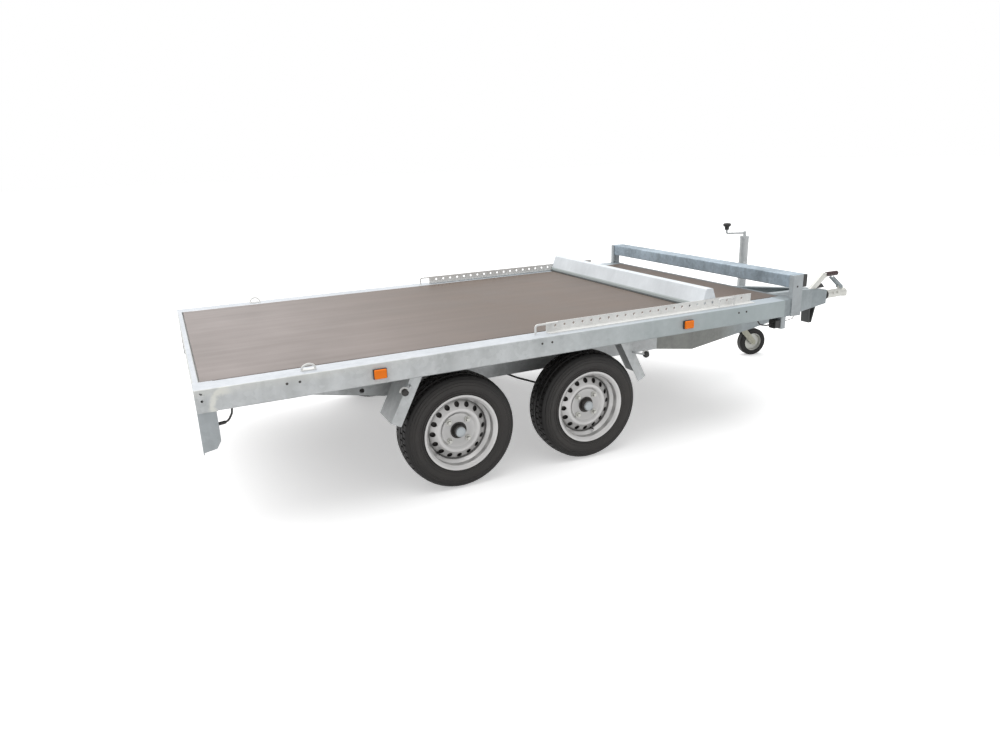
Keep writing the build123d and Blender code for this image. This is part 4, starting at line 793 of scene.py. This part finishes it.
class TRAILER_OT_tyres(bpy.types.Operator):
    """Model one road tyre with its tread and copy it to the four wheels"""
    bl_idname = "trailer.tyres"
    bl_label = "Tyres"

    def section(self, radius, half, bead, depth):
        """Half section from the bead to the middle of the tread, as radius and reach."""
        wall = radius - bead
        ribs = [(0.00, 0.72), (0.08, 0.80), (0.15, 0.87), (0.19, 0.945), (0.23, 0.945),
                (0.25, 0.915), (0.33, 0.955), (0.34, 0.970), (0.36, 0.970), (0.37, 0.955),
                (0.46, 0.985), (0.54, 1.0), (0.57, 1.0), (0.58, 0.975), (0.66, 0.965),
                (0.67, 0.980), (0.69, 0.978), (0.70, 0.955), (0.78, 0.925), (0.79, 0.935),
                (0.81, 0.928)]
        crown = [(0.020, 0.885), (0.013, 0.835), (0.008, 0.77), (0.0055, 0.70), (0.0035, 0.52),
                 (depth, 0.50), (depth, 0.44), (0.0022, 0.42), (0.0006, 0.20), (depth, 0.185),
                 (depth, 0.125), (0.0, 0.11)]
        return ([(bead + share * wall, reach * half) for share, reach in ribs]
                + [(radius - drop, reach * half) for drop, reach in crown])

    def execute(self, context):
        sizes = context.scene.trailer_sizes
        low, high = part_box("tyre_rear_right")
        hub = (low + high) / 2
        radius, half = (high.z - low.z) / 2, (high.y - low.y) / 2
        shoulder = radius - 0.018
        rim_low, rim_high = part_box("rim_rear_right")
        bead = (rim_high.z - rim_low.z) / 2 - 0.016
        outer = self.section(radius, half, bead, sizes.tread_depth)
        section = outer + [(r, -reach) for r, reach in outer[::-1]]
        tyre = spun(section, sizes.tread_steps, hub, (0, 1, 0))
        step = 2 * math.pi / sizes.tread_steps

        def in_groove(place):
            arm = place - hub
            reach = abs(arm.y) / half
            column = int(math.atan2(arm.z, arm.x) / step + 1000)
            return math.hypot(arm.x, arm.z) >= shoulder and any(
                start < reach < stop and (column + skew) % sizes.tread_pitch == 0
                for start, stop, skew in GROOVE_BANDS)

        start_edit(tyre, "FACE")
        select_faces(tyre, in_groove)
        bpy.ops.mesh.extrude_region_move()
        shrink = 1 - 0.8 * sizes.tread_depth / radius
        bpy.ops.transform.resize(value=(shrink, 1, shrink), center_override=hub)
        end_edit()
        moves = []
        for wheel in WHEELS:
            place = middle_of(f"tyre_{wheel}")
            turn = Matrix.Rotation(math.pi if place.y > 0 else 0.0, 4, "Z")
            moves.append(Matrix.Translation(place) @ turn @ Matrix.Translation(-hub))
        for copy, wheel in zip(copy_to(tyre, moves), WHEELS):
            piece = finish_piece(copy, f"road_tyre_{wheel}", "tyre rubber",
                                 f"wheel_{wheel}", 40.0)
            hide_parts(f"tyre_{wheel}")
        return {"FINISHED"}


# Fasteners

def hex_bolt(radius, height):
    """Chamfered bolt head on a round washer, standing on the origin along Z."""
    head = spun([(0.0, height), (0.8 * radius, height), (radius, 0.82 * height), (radius, 0.0)], 6)
    washer = spun([(0.5 * radius, 0.24 * height), (1.38 * radius, 0.24 * height),
                   (1.45 * radius, 0.14 * height), (1.45 * radius, 0.0)], 28)
    return joined([head, washer])


def button_head(radius, height):
    """Low round head, standing on the origin along Z."""
    return spun([(0.0, height), (0.5 * radius, 0.92 * height), (0.85 * radius, 0.6 * height),
                 (radius, 0.0)], 24)


def scaled(section, radius):
    return [(share * radius, reach) for share, reach in section]


def arm_at(turn):
    """Direction in the plane of the wheels."""
    return Vector((math.cos(turn), 0, math.sin(turn)))


class TRAILER_OT_wheel_fittings(bpy.types.Operator):
    """Bolts, grease caps, dark rings and discs of painted shade at the hubs and behind the vents, and
    valves of the four wheels
    """
    bl_idname = "trailer.wheel_fittings"
    bl_label = "Wheel fittings"

    def execute(self, context):
        sizes = context.scene.trailer_sizes
        for wheel in WHEELS:
            body = f"wheel_{wheel}"
            hub = middle_of(f"tyre_{wheel}")
            out = Vector((0, math.copysign(1.0, hub.y), 0))
            face = hub + sizes.disc_face * out
            spots = [(face + sizes.bolt_circle * arm_at(sizes.bolt_turn + i * math.pi / 2), out)
                     for i in range(4)]
            bolts = set_out(hex_bolt(sizes.wheel_bolt, sizes.wheel_bolt_height), spots)
            finish_piece(bolts, f"wheel_bolts_{wheel}", "bright zinc", body)
            low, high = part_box(f"hub_{wheel}")
            end = Vector((hub.x, high.y if out.y > 0 else low.y, hub.z))
            turn = sizes.rear_valve if wheel.startswith("rear") else sizes.front_valve
            seat = hub + sizes.valve_circle * arm_at(turn) + 0.012 * out
            for name, section, segments, place, finish, slot in (
                    ("grease_cap", scaled(CAP_SECTION, sizes.cap_radius), 40, end,
                     "cap zinc", "bright_zinc"),
                    # Painted shade: a dark ring round the hub
                    ("hub_ring", scaled(HUB_SHADE_SECTION, sizes.hub_ring), 48, face,
                     "drum black", "drum_iron"),
                    # Painted shade: a dark disc behind the vents
                    ("drum_shield", scaled(VENT_SHADE_SECTION, sizes.vent_shade_radius), 56,
                     hub + sizes.vent_shade_place * out, "drum black", "drum_iron"),
                    ("valve", VALVE_SECTION, 16, seat, "black moulding", "black_plastic")):
                piece = set_out(spun(section, segments), [(place, out)])
                finish_piece(piece, f"{name}_{wheel}", finish, body)
        return {"FINISHED"}


class TRAILER_OT_fasteners(bpy.types.Operator):
    """Button heads in the rails and posts, and hexagon bolts of the axles and the coupling"""
    bl_idname = "trailer.fasteners"
    bl_label = "Fasteners"

    def buttons(self, sizes):
        low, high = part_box("side_rail_left")
        post_low, post_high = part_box("front_post_left")
        post_x = 0.55 * post_low.x + 0.45 * post_high.x
        spots = []
        for side in (-1, 1):
            for x in RAIL_BOLTS:
                place = (REAR + x, side * high.y, low.z + 0.69 * (high.z - low.z))
                spots.append((place, (0, side, 0)))
            spots.append(((post_x, side * post_high.y, post_high.z - 0.062), (0, side, 0)))
        heads = set_out(button_head(sizes.button_radius, 0.0025), spots)
        finish_piece(heads, "frame_buttons", "drum black")

    def bolts(self, sizes):
        spots = []
        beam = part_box("chassis_beam_left")[1].y - 0.025
        for axle in ("axle_beam_rear", "axle_beam_front"):
            low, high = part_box(axle)
            for side in (-1, 1):
                for dx in AXLE_BOLTS:
                    place = ((low.x + high.x) / 2 + dx, side * beam, high.z - 0.008)
                    spots.append((place, (0, 0, -1)))
        low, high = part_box("coupling_head")
        for side in (-1, 1):
            for back in COUPLING_BOLTS:
                place = (high.x - back, side * 0.0305, (low.z + high.z) / 2 - 0.0005)
                spots.append((place, (0, side, 0)))
        bolts = set_out(hex_bolt(sizes.bolt_head, sizes.bolt_height), spots)
        finish_piece(bolts, "frame_bolts", "bright zinc")

    def execute(self, context):
        sizes = context.scene.trailer_sizes
        self.buttons(sizes)
        self.bolts(sizes)
        return {"FINISHED"}


class TRAILER_OT_controls(bpy.types.Operator):
    """Brake lever with its grip and sector, bails over the guard knobs, and the clamp's screw"""
    bl_idname = "trailer.controls"
    bl_label = "Controls"

    def lever(self, sizes):
        """Flat pressed lever that bends into its grip."""
        low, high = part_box("handbrake_lever")
        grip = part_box("handbrake_grip")[0].x
        z = middle_of("handbrake_grip").z
        points = [(low.x - 0.018, low.z + 0.004), (low.x + 0.040, low.z - 0.002),
                  (grip - 0.022, z - 0.025), (grip + 0.004, z - 0.015),
                  (grip + 0.004, z + 0.012), (grip - 0.046, z + 0.013)]
        side = sizes.lever_width / 2
        middle = (low.y + high.y) / 2
        lever = plate(points, middle - side, middle + side, 0.003)
        piece = finish_piece(lever, "brake_lever", "bright zinc")
        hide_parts("handbrake_lever")

    def grip(self, sizes):
        """Ribbed grip over the lever's end."""
        low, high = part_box("handbrake_grip")
        start = low.x - 0.012
        r, end = sizes.grip_radius, high.x - start
        section = [(0.0, 0.0), (0.92 * r, 0.0), (r, 0.004)]
        for rib in range(1, 5):
            section += [(r, (rib - 0.2) * end / 5), (0.90 * r, rib * end / 5),
                        (r, (rib + 0.2) * end / 5)]
        section += [(r, end - 0.006), (0.85 * r, end - 0.001), (0.0, end)]
        place = (start, middle_of("handbrake_lever").y, (low.z + high.z) / 2)
        grip = spun(section, 24, place, (1, 0, 0))
        piece = finish_piece(grip, "brake_grip", "dark red grip")
        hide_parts("handbrake_grip")

    def sector(self, sizes):
        """Dark plate beside the lever's foot, on the overrun housing."""
        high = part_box("overrun_housing")[1]
        r, foot = sizes.sector_radius, high.z - 0.006
        middle = high.x - 0.98 * r
        outline = ((1.0, 0.0), (0.80, 0.30), (0.34, 0.72), (0.08, 0.80), (-0.25, 0.66),
                   (-0.75, 0.26), (-1.0, 0.0))
        sector = plate([(middle + x * r, foot + z * r) for x, z in outline], -0.024, -0.004, 0.002)
        finish_piece(sector, "lever_sector", "black moulding")

    # The bails stand where each knob's stud bends and wear the pale zinc, a painted highlight on that
    # bend
    def guard_bails(self):
        spots = []
        for low, high in quarters("guard_knobs", along=True):
            spots.append(((low + high) / 2 + Vector((-0.004, 0, 0.003)), (0, 0, 1)))
        bails = set_out(bail(0.0185, 0.0042), spots)
        finish_piece(bails, "guard_bails", "pale zinc")

    def clamp_screw(self, sizes):
        """Screw with its cross bar, along the jockey wheel's clamp."""
        tube = middle_of("jockey_tube")
        low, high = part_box("jockey_clamp")
        turn = sizes.clamp_turn
        out = Vector((math.sin(turn), math.cos(turn), 0))
        along = Vector((math.cos(turn), -math.sin(turn), 0))
        reach = (high.y - tube.y) / math.cos(turn) - 0.018
        place = Vector((tube.x, tube.y, (low.z + high.z) / 2)) + reach * out
        bar = spun(BAR_SECTION, 14, (0, 0, 0.058), (1, 0, 0))
        piece = set_out(joined([spun(SCREW_SECTION, 20), bar]), [(place, along)])
        finish_piece(piece, "clamp_screw", "bright zinc")

    def execute(self, context):
        sizes = context.scene.trailer_sizes
        self.lever(sizes)
        self.grip(sizes)
        self.sector(sizes)
        self.guard_bails()
        self.clamp_screw(sizes)
        return {"FINISHED"}


# Lamps

class TRAILER_OT_lamps(bpy.types.Operator):
    """Side markers with dark bases, tail lamps in three colours, front lenses and lead sleeves"""
    bl_idname = "trailer.lamps"
    bl_label = "Lamps"

    def markers(self):
        low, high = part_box("side_markers")
        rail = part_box("side_rail_left")[1].y
        half, base_depth, lens_depth = 0.030, 0.008, 0.018
        lenses, bases = [], []
        for x in MARKER_PLACES:
            for side in (-1, 1):
                left, right = REAR + x - half, REAR + x + half
                near, far = sorted((side * rail, side * (rail + base_depth)))
                bases.append(moulded_box((left, near, low.z), (right, far, high.z), 0.002))
                near, far = sorted((side * (rail + 0.004), side * (rail + lens_depth)))
                lens = moulded_box((left + 0.004, near, low.z + 0.002),
                                   (right - 0.004, far, high.z - 0.002), 0.003)
                start_edit(lens, "FACE")
                select_faces(lens, lambda c: abs(abs(c.y) - rail - lens_depth) < 0.0001)
                bpy.ops.mesh.inset(thickness=0.004, depth=-0.0012)
                end_edit()
                lenses.append(lens)
        base = finish_piece(joined(bases), "marker_bases", "black moulding")
        lens = finish_piece(joined(lenses), "marker_lenses", "amber lens")
        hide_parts("side_markers")
        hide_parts("side_markers")

    def tail_lamps(self):
        low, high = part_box("tail_lamps")
        outer, width = high.y, 0.200
        housings, parts = [], {"red lens": [], "amber lens": [], "clear lens": []}
        for side in (-1, 1):
            near, far = sorted((side * (outer - width), side * outer))
            back = high.x - 0.022
            housings.append(moulded_box((back, near, low.z), (high.x, far, high.z), 0.004))
            for finish, start, stop in TAIL_LENSES:
                near, far = sorted(side * (outer - share * width) for share in (start, stop))
                lens = moulded_box((low.x, near + 0.002, low.z + 0.003),
                                   (high.x - 0.020, far - 0.002, high.z - 0.003), 0.006)
                parts[finish].append(lens)
        piece = finish_piece(joined(housings), "tail_lamp_housings", "black moulding")
        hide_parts("tail_lamps")
        for finish, lenses in parts.items():
            piece = finish_piece(joined(lenses), "tail_" + finish.replace(" ", "_"), finish)
            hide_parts("tail_lamps")

    def front_lenses(self):
        rim = Vector((0, 0.003, 0.003))
        lenses = []
        for low, high in quarters("front_lamps"):
            back = Vector((high.x - 0.006, low.y, low.z)) + rim
            front = Vector((high.x + 0.003, high.y, high.z)) - rim
            lenses.append(moulded_box(back, front, 0.0025))
        finish_piece(joined(lenses), "front_lenses", "clear lens")

    def lead_sleeves(self):
        low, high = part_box("lamp_leads")
        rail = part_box("side_rail_left")[0].z
        spots = [((low.x, side * (high.y - 0.004), rail - 0.062), (0.036, 0, 0.004))
                 for side in (-1, 1)]
        sleeves = set_out(spun(SLEEVE_SECTION, 20), spots)
        finish_piece(sleeves, "lead_sleeves", "black moulding")

    def execute(self, context):
        self.markers()
        self.tail_lamps()
        self.front_lenses()
        self.lead_sleeves()
        return {"FINISHED"}


# Stage

def seen_rays(tree):
    """1 for rays that show a surface to the camera, straight or by way of gloss or glass."""
    path = add_node(tree, "ShaderNodeLightPath").outputs
    mirrored = maths(tree, "MAXIMUM", path["Is Glossy Ray"], path["Is Transmission Ray"])
    return maths(tree, "MAXIMUM", path["Is Camera Ray"], mirrored)


class TRAILER_OT_stage(bpy.types.Operator):
    """Floor, soft light and camera"""
    bl_idname = "trailer.stage"
    bl_label = "Stage"

    def floor(self, want):
        deselect()
        bpy.ops.mesh.primitive_plane_add(size=want.floor_size)
        floor = bpy.context.object
        floor.name = "floor"
        tree, shader = new_finish("pale floor")
        seen = seen_rays(tree)
        feed(shader, {"Base Color": blend(tree, seen, want.bounce_colour, want.floor_colour),
                      "Emission Strength": times(tree, seen, want.floor_glow),
                      "Emission Color": WHITE, "Roughness": 0.9, "Specular IOR Level": 0.0})
        floor.data.materials.append(bpy.data.materials["pale floor"])

    def sky(self, want):
        world = bpy.data.worlds.new("studio")
        bpy.context.scene.world = world
        world.use_nodes = True
        tree = world.node_tree
        strength = spread(tree, seen_rays(tree), want.sky_level, 1.0)
        feed(tree.nodes["Background"], {"Color": WHITE, "Strength": strength})

    def key(self, want):
        bpy.ops.object.light_add(type="SUN", location=(0.0, 0.0, 6.0), rotation=(-0.25, -0.2, 0.0))
        lamp = bpy.context.object
        lamp.name = "soft sun"
        lamp.data.energy = want.key_level
        lamp.data.angle = want.key_spread

    def camera(self, want):
        bpy.ops.object.camera_add()
        camera = bpy.context.object
        camera.data.lens = want.camera_lens
        camera.data.sensor_width = 36.0
        camera.data.clip_end = 200.0
        turn = (Matrix.Rotation(-want.camera_yaw, 4, "Z")
                @ Matrix.Rotation(math.pi / 2 + want.camera_pitch, 4, "X")
                @ Matrix.Rotation(want.camera_roll, 4, "Z"))
        camera.matrix_world = Matrix.Translation(want.camera_place) @ turn
        bpy.context.scene.camera = camera

    def execute(self, context):
        want = context.scene.trailer_stage
        self.floor(want)
        self.sky(want)
        self.key(want)
        self.camera(want)
        context.scene.view_settings.view_transform = "Standard"
        return {"FINISHED"}


class TRAILER_PT_panel(bpy.types.Panel):
    """Steps that dress the trailer, in order"""
    bl_idname = "TRAILER_PT_panel"
    bl_label = "Flatbed trailer"
    bl_space_type = "VIEW_3D"
    bl_region_type = "UI"
    bl_category = "Trailer"

    def draw(self, context):
        for step in STEPS:
            self.layout.operator(step.bl_idname)


STEPS = (TRAILER_OT_finishes, TRAILER_OT_tyres, TRAILER_OT_wheel_fittings, TRAILER_OT_fasteners,
         TRAILER_OT_controls, TRAILER_OT_lamps, TRAILER_OT_stage)
GROUPS = {"trailer_finishes": TrailerFinishes, "trailer_sizes": TrailerSizes,
          "trailer_stage": TrailerStage}


def register():
    for kind in (*GROUPS.values(), *STEPS, TRAILER_PT_panel):
        bpy.utils.register_class(kind)
    for name, kind in GROUPS.items():
        setattr(bpy.types.Scene, name, PointerProperty(type=kind))


def unregister():
    for name in GROUPS:
        delattr(bpy.types.Scene, name)
    for kind in (TRAILER_PT_panel, *STEPS, *GROUPS.values()):
        bpy.utils.unregister_class(kind)


def main():
    register()
    bpy.ops.trailer.finishes()
    bpy.ops.trailer.tyres()
    bpy.ops.trailer.wheel_fittings()
    bpy.ops.trailer.fasteners()
    bpy.ops.trailer.controls()
    bpy.ops.trailer.lamps()
    bpy.ops.trailer.stage()


if __name__ == "__main__":
    main()
